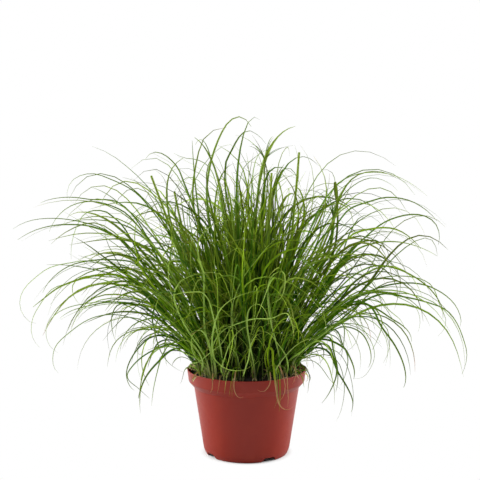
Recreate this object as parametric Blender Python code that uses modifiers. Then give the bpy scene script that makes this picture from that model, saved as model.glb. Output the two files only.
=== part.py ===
"""Umbrella sedge growing in a round plastic nursery pot, at its real size.

Metres, +Z up. The origin is the centre of the pot's foot, on the surface that the pot stands on.
+X is to the viewer's right and -Y is towards the viewer. An azimuth is turned from +X towards +Y.
"""

import math
import random

import bmesh
import bpy
from mathutils import Matrix, Vector
from mathutils.kdtree import KDTree

# Pot: driving dimensions
POT_HEIGHT = 0.0864
RIM_RADIUS = 0.0600
BAND_FOOT_RADIUS = 0.0585
BAND_HEIGHT = 0.0118
COLLAR_DROP = 0.0060
WALL_TOP_RADIUS = 0.0531
WALL_FOOT_RADIUS = 0.0434
WALL_FOOT_HEIGHT = 0.0050
FOOT_RADIUS = 0.0412
FOOT_ROUND_HEIGHT = 0.0016
WALL = 0.0011
FOOT_RING_WIDTH = 0.0022
FLOOR_UNDERSIDE = 0.0030
FLOOR_THICKNESS = 0.0012
POT_STEPS = 48

# Drain notches through the foot and the floor's edge
NOTCH_COUNT = 4
NOTCH_FIRST_AZIMUTH = math.radians(-58.0)
NOTCH_HEIGHT = 0.0044
NOTCH_FOOT_WIDTH = 0.0170
NOTCH_TOP_WIDTH = 0.0110
NOTCH_INNER_RADIUS = 0.0360
NOTCH_OUTER_RADIUS = 0.0500

# Soil
GAP = 0.0003
SOIL_EDGE_DROP = 0.0050
SOIL_DOME = 0.0022
SOIL_STEPS = 36

# Stalks: each is a curve with an even keeled section, sized by a radius at every point
LEAF_HALF_WIDTH = 0.0023
CULM_HALF_WIDTH = 0.0015
KEEL_DEPTH = 0.70
KEEL_RISE = 0.35
CULM_ROUNDNESS = 0.85
SHEATH_HEIGHT = 0.014
SHEATH_LEAN = 0.06
STEPS_PER_SPAN = 3

# A stalk that would come nearer to another than this, centre to centre, is turned and re-rooted
CENTRE_DISTANCE = 0.0056
PROBE_SPACING = 0.0030
TURN_STEP = 1.5
ROOT_STEP = 0.0030

# How wide a leaf is along its length, and how a culm swells to its head and thins to its longest bract
LEAF_TAPER = (0.72, 0.80, 1.00, 0.95, 0.66, 0.10)
CULM_TAPER = (1.00, 0.95, 0.90, 1.65, 0.55, 0.12)
BLUNT_TAPER = (1.00, 0.98, 0.95, 0.92, 0.88, 0.70)

# Arching leaves measured from the side: azimuth in degrees, then the radius of the root, then the
# points (distance from the pot's axis, height) that the leaf passes on its way to its tip.
SIDE_LEAVES = (
    # to the right
    (-12, 0.034, ((0.070, 0.190), (0.118, 0.252), (0.162, 0.258), (0.195, 0.234))),
    (20, 0.036, ((0.082, 0.185), (0.130, 0.236), (0.176, 0.243), (0.203, 0.206))),
    (-5, 0.040, ((0.088, 0.190), (0.129, 0.226), (0.160, 0.220), (0.177, 0.192))),
    (14, 0.044, ((0.082, 0.160), (0.120, 0.189), (0.172, 0.184), (0.203, 0.143))),
    (-21, 0.045, ((0.088, 0.148), (0.134, 0.175), (0.186, 0.170), (0.213, 0.134))),
    (3, 0.046, ((0.090, 0.135), (0.140, 0.161), (0.200, 0.144), (0.222, 0.082))),
    (-31, 0.044, ((0.080, 0.126), (0.118, 0.150), (0.148, 0.138), (0.150, 0.106))),
    (29, 0.047, ((0.090, 0.120), (0.132, 0.135), (0.168, 0.112), (0.178, 0.066))),
    (-16, 0.048, ((0.068, 0.104), (0.092, 0.110), (0.108, 0.084), (0.109, 0.044))),
    (9, 0.026, ((0.056, 0.250), (0.088, 0.298), (0.118, 0.305), (0.152, 0.288))),
    (-26, 0.030, ((0.066, 0.220), (0.100, 0.272), (0.140, 0.285), (0.178, 0.268))),
    # to the left
    (187, 0.038, ((0.078, 0.190), (0.125, 0.247), (0.170, 0.258), (0.208, 0.251))),
    (178, 0.042, ((0.095, 0.188), (0.145, 0.226), (0.186, 0.231), (0.226, 0.214))),
    (169, 0.030, ((0.066, 0.200), (0.112, 0.262), (0.156, 0.283), (0.183, 0.256))),
    (196, 0.020, ((0.044, 0.215), (0.066, 0.275), (0.094, 0.302), (0.112, 0.290))),
    (193, 0.045, ((0.078, 0.158), (0.112, 0.190), (0.168, 0.196), (0.209, 0.163))),
    (161, 0.046, ((0.092, 0.156), (0.140, 0.181), (0.196, 0.170), (0.224, 0.127))),
    (183, 0.048, ((0.074, 0.126), (0.108, 0.150), (0.150, 0.151), (0.187, 0.136))),
    (207, 0.040, ((0.078, 0.155), (0.118, 0.202), (0.164, 0.236), (0.190, 0.252))),
    (153, 0.048, ((0.072, 0.108), (0.100, 0.124), (0.124, 0.104), (0.122, 0.054))),
    (215, 0.046, ((0.072, 0.112), (0.098, 0.123), (0.118, 0.098), (0.122, 0.058))),
    (174, 0.047, ((0.082, 0.118), (0.122, 0.136), (0.160, 0.118), (0.176, 0.080))),
)

# Leaves towards and away from the viewer follow one of these, in turn, evenly spread over an arc
FRONT_SHAPES = (
    (0.018, ((0.046, 0.190), (0.078, 0.248), (0.118, 0.262), (0.156, 0.240))),
    (0.042, ((0.066, 0.128), (0.092, 0.152), (0.120, 0.150), (0.142, 0.128))),
    (0.032, ((0.068, 0.165), (0.108, 0.206), (0.158, 0.204), (0.202, 0.168))),
)
BACK_SHAPES = (
    (0.018, ((0.048, 0.200), (0.084, 0.262), (0.128, 0.276), (0.172, 0.250))),
    (0.044, ((0.072, 0.130), (0.108, 0.158), (0.150, 0.150), (0.186, 0.098))),
    (0.032, ((0.072, 0.172), (0.112, 0.216), (0.158, 0.214), (0.199, 0.178))),
)
FRONT_CENTRE = -90
BACK_CENTRE = 90
ARC_OF_LEAVES = 100
LEAVES_PER_ARC = 12
SHAPE_VARIATION = 0.035
PLANT_SEED = 12

# Short leaves that hang over the front of the rim
RIM_LEAVES = (
    (-64, 0.048, ((0.0585, 0.102), (0.0665, 0.100), (0.0705, 0.082), (0.0690, 0.058))),
    (-102, 0.049, ((0.0580, 0.099), (0.0650, 0.098), (0.0685, 0.086), (0.0680, 0.072))),
)

# Upright culms: azimuth, root radius, points, and whether the culm ends blunt instead of in a bract
CULMS = (
    (13, 0.030, ((0.055, 0.150), (0.086, 0.203), (0.0945, 0.252), (0.116, 0.280), (0.157, 0.277)), False),
    (200, 0.026, ((0.050, 0.150), (0.076, 0.222), (0.086, 0.250), (0.098, 0.282)), True),
    (148, 0.024, ((0.050, 0.150), (0.072, 0.205), (0.081, 0.234), (0.088, 0.262)), True),
    (180, 0.016, ((0.044, 0.160), (0.075, 0.232), (0.0795, 0.264), (0.075, 0.286), (0.063, 0.298)), False),
    (222, 0.012, ((0.030, 0.180), (0.052, 0.262), (0.039, 0.313), (0.014, 0.3383), (-0.006, 0.329)), False),
    (150, 0.010, ((0.014, 0.180), (0.027, 0.245), (0.037, 0.287), (0.049, 0.308), (0.061, 0.318)), False),
    (40, 0.011, ((0.011, 0.200), (0.017, 0.275), (0.029, 0.305), (0.046, 0.322), (0.065, 0.329)), False),
    (345, 0.020, ((0.032, 0.150), (0.044, 0.208), (0.049, 0.256), (0.053, 0.304)), True),
    (300, 0.013, ((0.022, 0.150), (0.036, 0.210), (0.043, 0.248), (0.047, 0.285)), True),
    (255, 0.016, ((0.028, 0.150), (0.044, 0.215), (0.056, 0.252), (0.074, 0.276), (0.098, 0.282)), False),
)


def pot_profile():
    """The wall's outline from the floor's centre up the inside, over the lip and down the outside."""
    band_foot = POT_HEIGHT - BAND_HEIGHT
    collar_foot = band_foot - COLLAR_DROP
    floor_top = FLOOR_UNDERSIDE + FLOOR_THICKNESS
    ring_inner = FOOT_RADIUS - FOOT_RING_WIDTH
    return (
        (0.0, floor_top),
        (WALL_FOOT_RADIUS - WALL, floor_top),
        (WALL_TOP_RADIUS - WALL, collar_foot),
        (BAND_FOOT_RADIUS - WALL, band_foot),
        (RIM_RADIUS - WALL, POT_HEIGHT - WALL / 2),
        (RIM_RADIUS - 0.75 * WALL, POT_HEIGHT),
        (RIM_RADIUS - 0.25 * WALL, POT_HEIGHT),
        (RIM_RADIUS, POT_HEIGHT - WALL / 2),
        (BAND_FOOT_RADIUS, band_foot),
        (WALL_TOP_RADIUS, collar_foot),
        (WALL_FOOT_RADIUS, WALL_FOOT_HEIGHT),
        ((WALL_FOOT_RADIUS + FOOT_RADIUS) / 2 + WALL / 4, FOOT_ROUND_HEIGHT),
        (FOOT_RADIUS, 0.0),
        (ring_inner, 0.0),
        (ring_inner, FLOOR_UNDERSIDE),
        (0.0, FLOOR_UNDERSIDE),
    )


def inner_radius(height):
    """The radius of the pot's inner wall at a height."""
    band_foot = POT_HEIGHT - BAND_HEIGHT
    collar_foot = band_foot - COLLAR_DROP
    stations = (
        (FLOOR_UNDERSIDE + FLOOR_THICKNESS, WALL_FOOT_RADIUS - WALL),
        (collar_foot, WALL_TOP_RADIUS - WALL),
        (band_foot, BAND_FOOT_RADIUS - WALL),
        (POT_HEIGHT, RIM_RADIUS - WALL),
    )
    for (low, r_low), (high, r_high) in zip(stations, stations[1:]):
        if height <= high:
            return r_low + (r_high - r_low) * (height - low) / (high - low)
    return stations[-1][1]


def soil_height(radius):
    """The height of the gently domed soil at a distance from the pot's axis."""
    edge = POT_HEIGHT - SOIL_EDGE_DROP
    share = min(1.0, radius / inner_radius(edge))
    return edge + SOIL_DOME * (1.0 - share * share)


def soil_profile():
    """The outline of the soil that fills the pot, from its crown down to the pot's floor."""
    bottom = FLOOR_UNDERSIDE + FLOOR_THICKNESS + GAP
    band_foot = POT_HEIGHT - BAND_HEIGHT
    collar_foot = band_foot - COLLAR_DROP
    edge_radius = inner_radius(POT_HEIGHT - SOIL_EDGE_DROP) - GAP
    crown = [(edge_radius * share, soil_height(edge_radius * share)) for share in (0.0, 0.4, 0.75, 1.0)]
    side = [
        (inner_radius(band_foot) - GAP, band_foot),
        (inner_radius(collar_foot) - GAP, collar_foot),
        (inner_radius(bottom) - GAP, bottom),
        (0.0, bottom),
    ]
    return crown + side


def material(name, colour, roughness):
    """A plain surface finish."""
    made = bpy.data.materials.new(name)
    made.use_nodes = True
    shader = made.node_tree.nodes["Principled BSDF"]
    shader.inputs["Base Color"].default_value = (*colour, 1.0)
    shader.inputs["Roughness"].default_value = roughness
    shader.inputs["Metallic"].default_value = 0.0
    made.diffuse_color = (*colour, 1.0)
    return made


def turned(name, profile, steps, collection, finish):
    """A solid of revolution about the pot's axis."""
    mesh = bpy.data.meshes.new(name)
    points = [(radius, 0.0, height) for radius, height in profile]
    mesh.from_pydata(points, [(i, i + 1) for i in range(len(points) - 1)], [])
    solid = bpy.data.objects.new(name, mesh)
    collection.objects.link(solid)
    screw = solid.modifiers.new("Turn", "SCREW")
    screw.axis = "Z"
    screw.angle = math.tau
    screw.steps = steps
    screw.render_steps = steps
    screw.use_merge_vertices = True
    screw.merge_threshold = 0.00001
    mesh.materials.append(finish)
    return solid


def notch_cutter(name, azimuth, collection):
    """A tapered block that opens the foot and the floor's edge for draining."""
    mesh = bpy.data.meshes.new(name)
    block = bmesh.new()
    bmesh.ops.create_cube(block, size=1.0)
    length = NOTCH_OUTER_RADIUS - NOTCH_INNER_RADIUS
    slope = (NOTCH_FOOT_WIDTH - NOTCH_TOP_WIDTH) / NOTCH_HEIGHT
    below = NOTCH_HEIGHT
    for vertex in block.verts:
        top = vertex.co.z > 0
        width = NOTCH_TOP_WIDTH if top else NOTCH_FOOT_WIDTH + slope * below
        vertex.co.x = (NOTCH_INNER_RADIUS + NOTCH_OUTER_RADIUS) / 2 + vertex.co.x * length
        vertex.co.y *= width
        vertex.co.z = NOTCH_HEIGHT if top else -below
    block.to_mesh(mesh)
    block.free()
    cutter = bpy.data.objects.new(name, mesh)
    cutter.rotation_euler.z = azimuth
    cutter.hide_render = True
    cutter.display_type = "WIRE"
    collection.objects.link(cutter)
    return cutter


def make_pot(parts, cutters, finish):
    """The thin-walled pot with its rim band, collar, foot ring and drain notches."""
    pot = turned("pot", pot_profile(), POT_STEPS, parts, finish)
    for number in range(NOTCH_COUNT):
        azimuth = NOTCH_FIRST_AZIMUTH + math.tau * number / NOTCH_COUNT - math.pi / 2
        cut = pot.modifiers.new(f"Notch {number + 1}", "BOOLEAN")
        cut.operation = "DIFFERENCE"
        cut.solver = "EXACT"
        cut.object = notch_cutter(f"notch_cutter_{number + 1}", azimuth, cutters)
    return pot


def section(name, width, depth, rise, guides):
    """The closed cross-section of a stalk: flat above and keeled below, one unit half wide."""
    outline = bpy.data.curves.new(name, "CURVE")
    outline.dimensions = "2D"
    spline = outline.splines.new("POLY")
    corners = ((-width, 0.0), (0.0, rise), (width, 0.0), (0.0, -depth))
    spline.points.add(len(corners) - 1)
    for point, (x, y) in zip(spline.points, corners):
        point.co = (x, y, 0.0, 1.0)
    spline.use_cyclic_u = True
    guide = bpy.data.objects.new(name, outline)
    guide.hide_render = True
    guide.display_type = "WIRE"
    guides.objects.link(guide)
    return guide


def taper_at(taper, share):
    """The taper's value at a share of the stalk's points, read in a straight line between its entries."""
    place = share * (len(taper) - 1)
    index = min(int(place), len(taper) - 2)
    return taper[index] + (taper[index + 1] - taper[index]) * (place - index)


def path_in_plane(root_radius, points):
    """The stalk's smooth path in its upright plane, from the soil to the tip, as (distance, height) points."""
    root = Vector((root_radius, soil_height(root_radius) + GAP))
    first = Vector(points[0])
    sheath = root + Vector(((first.x - root.x) * SHEATH_LEAN, SHEATH_HEIGHT))
    knots = [root, sheath] + [Vector(point) for point in points]
    chords = [end - start for start, end in zip(knots, knots[1:])]
    headings = [Vector((0.0, 1.0))]
    for before, after in zip(chords, chords[1:]):
        headings.append((before.normalized() + after.normalized()).normalized())
    last = chords[-1].normalized()
    headings.append(2.0 * last.dot(headings[-1]) * last - headings[-1])
    path = []
    for start, end, leaving, arriving in zip(knots, knots[1:], headings, headings[1:]):
        span = (end - start).length
        for step in range(STEPS_PER_SPAN):
            t = step / STEPS_PER_SPAN
            eased = t * t * (3.0 - 2.0 * t)
            swing = leaving * (t * (1.0 - t) ** 2) - arriving * (t * t * (1.0 - t))
            path.append(start.lerp(end, eased) + swing * span)
    path.append(knots[-1])
    return path


def probes(path, azimuth):
    """Points a few millimetres apart along a path that stands at an azimuth."""
    turn = Matrix.Rotation(math.radians(azimuth), 3, "Z")
    spaced = []
    for start, end in zip(path, path[1:]):
        pieces = max(1, math.ceil((end - start).length / PROBE_SPACING))
        for piece in range(pieces):
            place = start.lerp(end, piece / pieces)
            spaced.append(turn @ Vector((place.x, 0.0, place.y)))
    spaced.append(turn @ Vector((path[-1].x, 0.0, path[-1].y)))
    return spaced


def settled(azimuth, root_radius, points, taken):
    """The azimuth, path and probes of a stalk, turned or re-rooted by as little as keeps it clear of the others."""
    standing = KDTree(max(1, len(taken)))
    for number, place in enumerate(taken):
        standing.insert(place, number)
    standing.balance()
    best = None
    for turn in (0, 1, -1, 2, -2, 3, -3, 4, -4, 5, -5, 6, -6):
        for shift in (0, -1, 1, -2, 2):
            path = path_in_plane(max(0.004, root_radius + shift * ROOT_STEP), points)
            turned_to = azimuth + turn * TURN_STEP
            spaced = probes(path, turned_to)
            nearest = min(standing.find(place)[2] for place in spaced) if taken else 1.0
            if best is None or nearest > best[0]:
                best = (nearest, turned_to, path, spaced)
            if nearest >= CENTRE_DISTANCE:
                return best[1:]
    return best[1:]


def stalk(name, azimuth, path, half_width, taper, outline, collection, finish):
    """A leaf or a culm: the section swept along its path, in the upright plane at its azimuth."""
    curve = bpy.data.curves.new(name, "CURVE")
    curve.dimensions = "3D"
    curve.twist_mode = "MINIMUM"
    curve.bevel_mode = "OBJECT"
    curve.bevel_object = outline
    curve.use_fill_caps = True
    spline = curve.splines.new("POLY")
    spline.points.add(len(path) - 1)
    for number, (point, place) in enumerate(zip(spline.points, path)):
        point.co = (place.x, 0.0, place.y, 1.0)
        point.radius = half_width * taper_at(taper, number / (len(path) - 1))
    blade = bpy.data.objects.new(name, curve)
    blade.rotation_euler.z = math.radians(azimuth)
    collection.objects.link(blade)
    curve.materials.append(finish)
    return blade


def arc_leaves(centre, shapes, draws):
    """Leaves evenly spread over an arc, each a slightly larger or smaller copy of the next shape in turn."""
    leaves = []
    for number in range(LEAVES_PER_ARC):
        azimuth = centre + ARC_OF_LEAVES * ((number + 0.5) / LEAVES_PER_ARC - 0.5)
        root_radius, points = shapes[number % len(shapes)]
        size = 1.0 + draws.uniform(-SHAPE_VARIATION, SHAPE_VARIATION)
        leaves.append((azimuth, root_radius, tuple((u * size, z * size) for u, z in points)))
    return leaves


def make_plant(parts, guides, leaf_finish, culm_finish):
    """All the culms and leaves, each a separate piece rooted on the soil and clear of the others."""
    draws = random.Random(PLANT_SEED)
    leaf_outline = section("leaf_section", 1.0, KEEL_DEPTH, KEEL_RISE, guides)
    culm_outline = section("culm_section", 1.0, CULM_ROUNDNESS, CULM_ROUNDNESS, guides)
    taken = []
    for number, (azimuth, root_radius, points, blunt) in enumerate(CULMS, start=1):
        azimuth, path, spaced = settled(azimuth, root_radius, points, taken)
        taken += spaced
        taper = BLUNT_TAPER if blunt else CULM_TAPER
        name = f"culm_{number:02d}"
        stalk(name, azimuth, path, CULM_HALF_WIDTH, taper, culm_outline, parts, culm_finish)
    leaves = [
        *SIDE_LEAVES,
        *arc_leaves(FRONT_CENTRE, FRONT_SHAPES, draws),
        *arc_leaves(BACK_CENTRE, BACK_SHAPES, draws),
        *RIM_LEAVES,
    ]
    for number, (azimuth, root_radius, points) in enumerate(leaves, start=1):
        azimuth, path, spaced = settled(azimuth, root_radius, points, taken)
        taken += spaced
        name = f"leaf_bunch_{number:02d}"
        stalk(name, azimuth, path, LEAF_HALF_WIDTH, LEAF_TAPER, leaf_outline, parts, leaf_finish)


def main():
    """Clears the scene and builds the potted plant."""
    for old in list(bpy.data.objects):
        bpy.data.objects.remove(old)
    parts = bpy.data.collections.new("Potted umbrella sedge")
    helpers = bpy.data.collections.new("Cutters and sections")
    bpy.context.scene.collection.children.link(parts)
    bpy.context.scene.collection.children.link(helpers)
    make_pot(parts, helpers, material("Red-brown pot plastic", (0.36, 0.072, 0.046), 0.45))
    turned("soil", soil_profile(), SOIL_STEPS, parts, material("Dark potting soil", (0.012, 0.009, 0.005), 0.95))
    leaf_green = material("Leaf green", (0.086, 0.190, 0.018), 0.50)
    culm_green = material("Culm green", (0.120, 0.235, 0.030), 0.45)
    make_plant(parts, helpers, leaf_green, culm_green)


main()
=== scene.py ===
"""The look of a potted umbrella sedge: a red-brown nursery pot, dark soil, culms and several hundred leaves.

Metres, +Z up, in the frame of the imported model. The origin is the centre of the pot's foot, +X is to
the viewer's right and -Y is towards the viewer. Every leaf bunch and culm follows the centre line of the
solid that it stands for, which is read from the frame, so the two always agree.
"""

from __future__ import annotations

import logging
import math
import random
from collections.abc import Callable
from dataclasses import dataclass, fields, replace
from enum import Enum
from functools import partial

import bmesh
import bpy
import numpy as np
from mathutils import Matrix, Vector

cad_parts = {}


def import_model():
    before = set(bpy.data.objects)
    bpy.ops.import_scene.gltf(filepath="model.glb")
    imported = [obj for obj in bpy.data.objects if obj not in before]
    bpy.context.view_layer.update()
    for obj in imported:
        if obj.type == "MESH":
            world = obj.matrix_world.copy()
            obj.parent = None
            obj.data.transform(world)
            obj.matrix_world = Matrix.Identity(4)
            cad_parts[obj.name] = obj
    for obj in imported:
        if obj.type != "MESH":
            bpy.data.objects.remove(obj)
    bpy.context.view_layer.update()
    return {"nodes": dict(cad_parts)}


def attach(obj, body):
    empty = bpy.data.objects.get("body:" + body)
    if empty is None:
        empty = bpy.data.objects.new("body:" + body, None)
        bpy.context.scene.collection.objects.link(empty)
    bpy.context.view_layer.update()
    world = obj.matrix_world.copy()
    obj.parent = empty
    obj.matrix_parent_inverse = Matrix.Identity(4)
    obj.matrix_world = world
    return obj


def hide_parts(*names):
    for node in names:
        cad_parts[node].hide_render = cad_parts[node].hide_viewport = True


logging.basicConfig(level=logging.INFO, format="%(message)s")
LOG = logging.getLogger("potted_umbrella_sedge")

Tree = bpy.types.NodeTree
Socket = bpy.types.NodeSocket
Material = bpy.types.Material
Thing = bpy.types.Object
# What add_node is, once it has its tree
Add = Callable[..., Socket]
# How a number eases into another: where it starts and ends, then the result at both
Range = tuple[float, float, float, float]

MM = 0.001
SOIL_HEIGHT = 82 * MM
POT_EDGE = {"Rim Radius": 63.5 * MM, "Rim Height": 86.4 * MM, "Root Radius": 48 * MM}
BODY = "root"
WHITE = (1.0, 1.0, 1.0, 1.0)

# What the meshes of leaves and culms hold at their points, for the materials: how far along its blade a
# point is and how far across it, which green its leaf has, and how dry the leaf is.
KEPT_NUMBERS = ("along", "across", "tone", "dry")

# What they hold besides while they are made, or get from the sweep
WORKING_NUMBERS = ("wide", "roll", "side", "normal_mode", "custom_normal_curve", "tilt", "radius", "cyclic")


class Node(Enum):
    """The kinds of node that come up often: a type, with the setting that makes it this kind."""

    ADD = ("ShaderNodeMath", "operation", "ADD")
    SUBTRACT = ("ShaderNodeMath", "operation", "SUBTRACT")
    MULTIPLY = ("ShaderNodeMath", "operation", "MULTIPLY")
    DIVIDE = ("ShaderNodeMath", "operation", "DIVIDE")
    MULTIPLY_ADD = ("ShaderNodeMath", "operation", "MULTIPLY_ADD")
    MINIMUM = ("ShaderNodeMath", "operation", "MINIMUM")
    MAXIMUM = ("ShaderNodeMath", "operation", "MAXIMUM")
    GREATER_THAN = ("ShaderNodeMath", "operation", "GREATER_THAN")
    ABSOLUTE = ("ShaderNodeMath", "operation", "ABSOLUTE")
    POWER = ("ShaderNodeMath", "operation", "POWER")
    SINE = ("ShaderNodeMath", "operation", "SINE")
    COSINE = ("ShaderNodeMath", "operation", "COSINE")
    VECTOR_ADD = ("ShaderNodeVectorMath", "operation", "ADD")
    VECTOR_SUBTRACT = ("ShaderNodeVectorMath", "operation", "SUBTRACT")
    VECTOR_MULTIPLY = ("ShaderNodeVectorMath", "operation", "MULTIPLY")
    VECTOR_MAXIMUM = ("ShaderNodeVectorMath", "operation", "MAXIMUM")
    VECTOR_SCALE = ("ShaderNodeVectorMath", "operation", "SCALE")
    VECTOR_LENGTH = ("ShaderNodeVectorMath", "operation", "LENGTH")
    EASE = ("ShaderNodeMapRange", "interpolation_type", "SMOOTHSTEP")
    TURN = ("ShaderNodeVectorRotate", "rotation_type", "AXIS_ANGLE")
    MIX = ("ShaderNodeMix", "data_type", "RGBA")
    ATTRIBUTE = ("ShaderNodeAttribute", "attribute_type", "GEOMETRY")
    RANDOM_NUMBER = ("FunctionNodeRandomValue", "data_type", "FLOAT")
    RANDOM_VECTOR = ("FunctionNodeRandomValue", "data_type", "FLOAT_VECTOR")
    READ_NUMBER = ("GeometryNodeInputNamedAttribute", "data_type", "FLOAT")
    READ_VECTOR = ("GeometryNodeInputNamedAttribute", "data_type", "FLOAT_VECTOR")
    STORE_NUMBER = ("GeometryNodeStoreNamedAttribute", "data_type", "FLOAT")
    STORE_VECTOR = ("GeometryNodeStoreNamedAttribute", "data_type", "FLOAT_VECTOR")
    BUMP = ("ShaderNodeBump",)
    COMBINE = ("ShaderNodeCombineXYZ",)
    COORDINATES = ("ShaderNodeTexCoord",)
    MIX_SHADERS = ("ShaderNodeMixShader",)
    NOISE = ("ShaderNodeTexNoise",)
    OUTPUT = ("ShaderNodeOutputMaterial",)
    PRINCIPLED = ("ShaderNodeBsdfPrincipled",)
    SPLIT = ("ShaderNodeSeparateXYZ",)


class Slot(Enum):
    """The record's material slots."""

    POT = "pot"
    SOIL = "soil"
    CULM = "culm"
    LEAF = "leaf"


class StalkKind(Enum):
    """The two kinds of stalk, by the first part of their solids' names."""

    LEAF_BUNCH = "leaf_bunch_"
    CULM = "culm_"


def from_hex(code: str) -> tuple[float, float, float, float]:
    """Turns an sRGB hex colour into the linear colour that a shader takes.

    Args:
        code: six hex digits, red first.

    Returns:
        Red, green, blue and an alpha of one.
    """
    channels = [int(code[place : place + 2], 16) / 255.0 for place in (0, 2, 4)]
    linear = [c / 12.92 if c <= 0.04045 else ((c + 0.055) / 1.055) ** 2.4 for c in channels]
    return (linear[0], linear[1], linear[2], 1.0)


def add_node(
    tree: Tree, kind: Node | str, inputs: tuple | dict = (), out: str | None = None, **settings: object
) -> Socket | None:
    """Adds a node, sets it up and fills or links its inputs.

    Args:
        tree: the node tree.
        kind: a kind of node, or the name of a type that comes up once.
        inputs: values or output sockets, by input name, or in the order of the inputs in use. None
            leaves an input as it is.
        out: the name of the output to return. Without it, that is the first one in use.
        **settings: more properties of the node, set before its inputs.

    Returns:
        The output's socket, if the node has one. Its node attribute is the node itself.
    """
    type_name, *setting = kind.value if isinstance(kind, Node) else (kind,)
    node = tree.nodes.new(type_name)
    if setting:
        settings = dict([setting]) | settings
    for name, value in settings.items():
        setattr(node, name, value)
    by_name = isinstance(inputs, dict)
    sockets = node.inputs if by_name else [socket for socket in node.inputs if socket.enabled]
    for key, value in inputs.items() if by_name else enumerate(inputs):
        if isinstance(value, Socket):
            tree.links.new(value, sockets[key])
        elif value is not None:
            sockets[key].default_value = value
    return node.outputs[out] if out else next((socket for socket in node.outputs if socket.enabled), None)


def link_to_scene(thing: Thing) -> Thing:
    """Puts an object in the scene's own collection and returns it."""
    bpy.context.scene.collection.objects.link(thing)
    return thing


# Camera


@dataclass(frozen=True)
class PhotoCamera:
    """The camera that sees the plant as the photograph does, fitted to the outline of the pot."""

    frame_px: int = 480
    focal_px: float = 1100.0
    distance: float = 1.098
    pitch: float = math.radians(6.07)
    aim_height: float = 0.2163
    sideways: float = -0.00666
    sensor_mm: float = 36.0

    def place(self) -> Vector:
        """Where the camera stands."""
        back = self.distance * math.cos(self.pitch)
        return Vector((self.sideways, -back, self.aim_height + self.distance * math.sin(self.pitch)))

    def ray(self, column: float, row: float) -> Vector:
        """The direction in which a pixel looks.

        Args:
            column: the pixel's place from the left.
            row: the pixel's place from the top.

        Returns:
            A vector with its component along the view equal to one.
        """
        half = self.frame_px / 2
        ahead = Vector((0.0, math.cos(self.pitch), -math.sin(self.pitch)))
        up = Vector((0.0, math.sin(self.pitch), math.cos(self.pitch)))
        across = Vector((1.0, 0.0, 0.0))
        return ahead + across * ((column - half) / self.focal_px) + up * ((half - row) / self.focal_px)

    def point(self, column: float, row: float, depth: float) -> Vector:
        """The point that a pixel shows in the upright plane at a depth.

        Args:
            column: the pixel's place from the left.
            row: the pixel's place from the top.
            depth: the plane's Y.

        Returns:
            The point, in metres.
        """
        start = self.place()
        way = self.ray(column, row)
        return start + way * ((depth - start.y) / way.y)

    def build(self) -> Thing:
        """Makes the camera and looks through it.

        Returns:
            The camera.
        """
        lens = bpy.data.cameras.new("photo_camera")
        lens.sensor_width = self.sensor_mm
        lens.lens = self.sensor_mm * self.focal_px / self.frame_px
        lens.clip_start = 0.05
        lens.clip_end = 50.0
        camera = link_to_scene(bpy.data.objects.new("photo_camera", lens))
        camera.location = self.place()
        camera.rotation_euler = (math.pi / 2 - self.pitch, 0.0, 0.0)
        bpy.context.scene.camera = camera
        return camera


# Finishes


def new_material(name: str) -> tuple[Material, Add]:
    """Makes a material without nodes.

    Args:
        name: the material's name.

    Returns:
        The material, and add_node for its tree.
    """
    made = bpy.data.materials.new(name)
    made.use_nodes = True
    made.node_tree.nodes.clear()
    return made, partial(add_node, made.node_tree)


def streaked(add: Add, count: int, depth: float) -> Socket:
    """Raises fine streaks that run along a blade.

    Args:
        add: add_node for the material's tree.
        count: how many there are across the blade.
        depth: how far they rise, in metres.

    Returns:
        The socket of the surface's direction.
    """
    across = add(Node.ATTRIBUTE, out="Fac", attribute_name="across")
    wave = add(Node.SINE, (add(Node.MULTIPLY, (across, count * math.pi)),))
    height = add(Node.MULTIPLY_ADD, (wave, 0.5, 0.5))
    return add(Node.BUMP, {"Strength": 1.0, "Distance": depth, "Height": height})


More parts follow.
